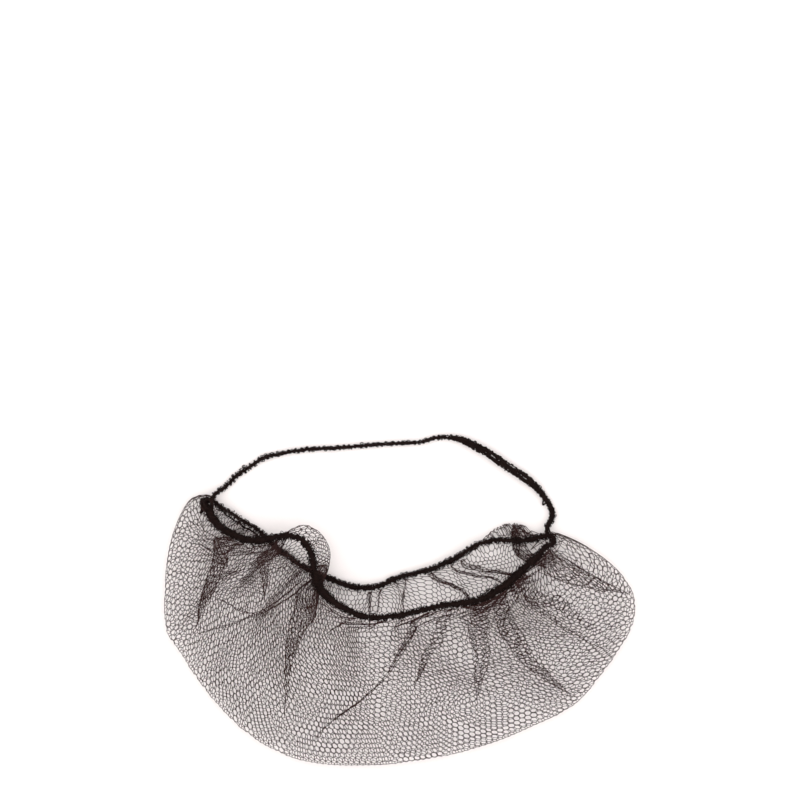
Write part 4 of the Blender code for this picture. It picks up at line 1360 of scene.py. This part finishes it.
class BEARDCOVER_OT_stage(bpy.types.Operator):
    """Set the pale floor, the soft light and the camera"""

    bl_idname = "beard_cover.stage"
    bl_label = "Stage"

    def execute(self, context):
        settings = context.scene.beard_cover.stage
        scene = context.scene
        square = np.array([(0, 0), (1, 0), (1, 1), (0, 1)], dtype=float)
        corners = np.column_stack([(square * 2 - 1) * FLOOR_HALF, np.full(4, FLOOR_LEVEL)])
        floor = mesh_object("floor", corners - MIDDLE, np.arange(4), np.array([0]), square)
        look = Look("pale_floor")
        grain = look.stretched(look.noise(40.0, detail=4.0), 0.3, 0.7)
        look.set({
            "Base Color": look.mixed(grain, (0.838, 0.785, 0.772, 1.0),
                                     (0.848, 0.795, 0.782, 1.0)),
            "Roughness": 0.95,
            "Specular IOR Level": 0.1,
        })
        floor.data.materials.append(look.material)

        world = bpy.data.worlds.new("white_surround")
        world.use_nodes = True
        ground = world.node_tree.nodes["Background"]
        ground.inputs["Color"].default_value = (1.0, 1.0, 1.0, 1.0)
        ground.inputs["Strength"].default_value = settings.surround
        scene.world = world
        lamp = bpy.data.lights.new("softbox", "AREA")
        lamp.shape = "DISK"
        lamp.size = 2.4
        lamp.energy = settings.light
        lamp.color = (1.0, 0.99, 0.985)
        softbox = bpy.data.objects.new("softbox", lamp)
        softbox.location = (-0.35, 0.55, 1.7)
        softbox.rotation_euler = (math.radians(-16), math.radians(-12), 0.0)
        scene.collection.objects.link(softbox)

        eye = bpy.data.cameras.new("camera")
        eye.sensor_width = SENSOR
        eye.lens = SENSOR / (PHOTO_PIXELS * PHOTO_SCALE / settings.distance)
        eye.clip_end = 20.0
        camera = bpy.data.objects.new("camera", eye)
        half = PHOTO_PIXELS / 2
        across, up = (half - BAG_PIXEL[0]) * PHOTO_SCALE, (BAG_PIXEL[1] - half) * PHOTO_SCALE
        camera.location = (across + MIDDLE[0], up + MIDDLE[1], settings.distance)
        scene.collection.objects.link(camera)
        scene.camera = camera
        scene.view_settings.view_transform = "Standard"
        return {"FINISHED"}


OPERATORS = (BEARDCOVER_OT_net, BEARDCOVER_OT_edge, BEARDCOVER_OT_headband, BEARDCOVER_OT_stage)


class BEARDCOVER_PT_panel(bpy.types.Panel):
    """Lists the pieces of the beard cover and their settings"""

    bl_idname = "BEARDCOVER_PT_panel"
    bl_label = "Beard cover"
    bl_space_type = "VIEW_3D"
    bl_region_type = "UI"
    bl_category = "Beard cover"

    def draw(self, context):
        cover = context.scene.beard_cover
        for operator, group in zip(OPERATORS, (cover.net, cover.edge, cover.band, cover.stage)):
            box = self.layout.box()
            box.operator(operator.bl_idname)
            for name in group.bl_rna.properties.keys():
                if name not in ("rna_type", "name"):
                    box.prop(group, name)


CLASSES = (NetSettings, EdgeSettings, BandSettings, StageSettings, CoverSettings,
           *OPERATORS, BEARDCOVER_PT_panel)


def register():
    for made in CLASSES:
        bpy.utils.register_class(made)
    bpy.types.Scene.beard_cover = PointerProperty(type=CoverSettings)


def unregister():
    del bpy.types.Scene.beard_cover
    for made in reversed(CLASSES):
        bpy.utils.unregister_class(made)


def main():
    """Build every piece and the stage."""
    register()
    bpy.ops.beard_cover.net()
    bpy.ops.beard_cover.edge()
    bpy.ops.beard_cover.headband()
    bpy.ops.beard_cover.stage()


if __name__ == "__main__":
    main()
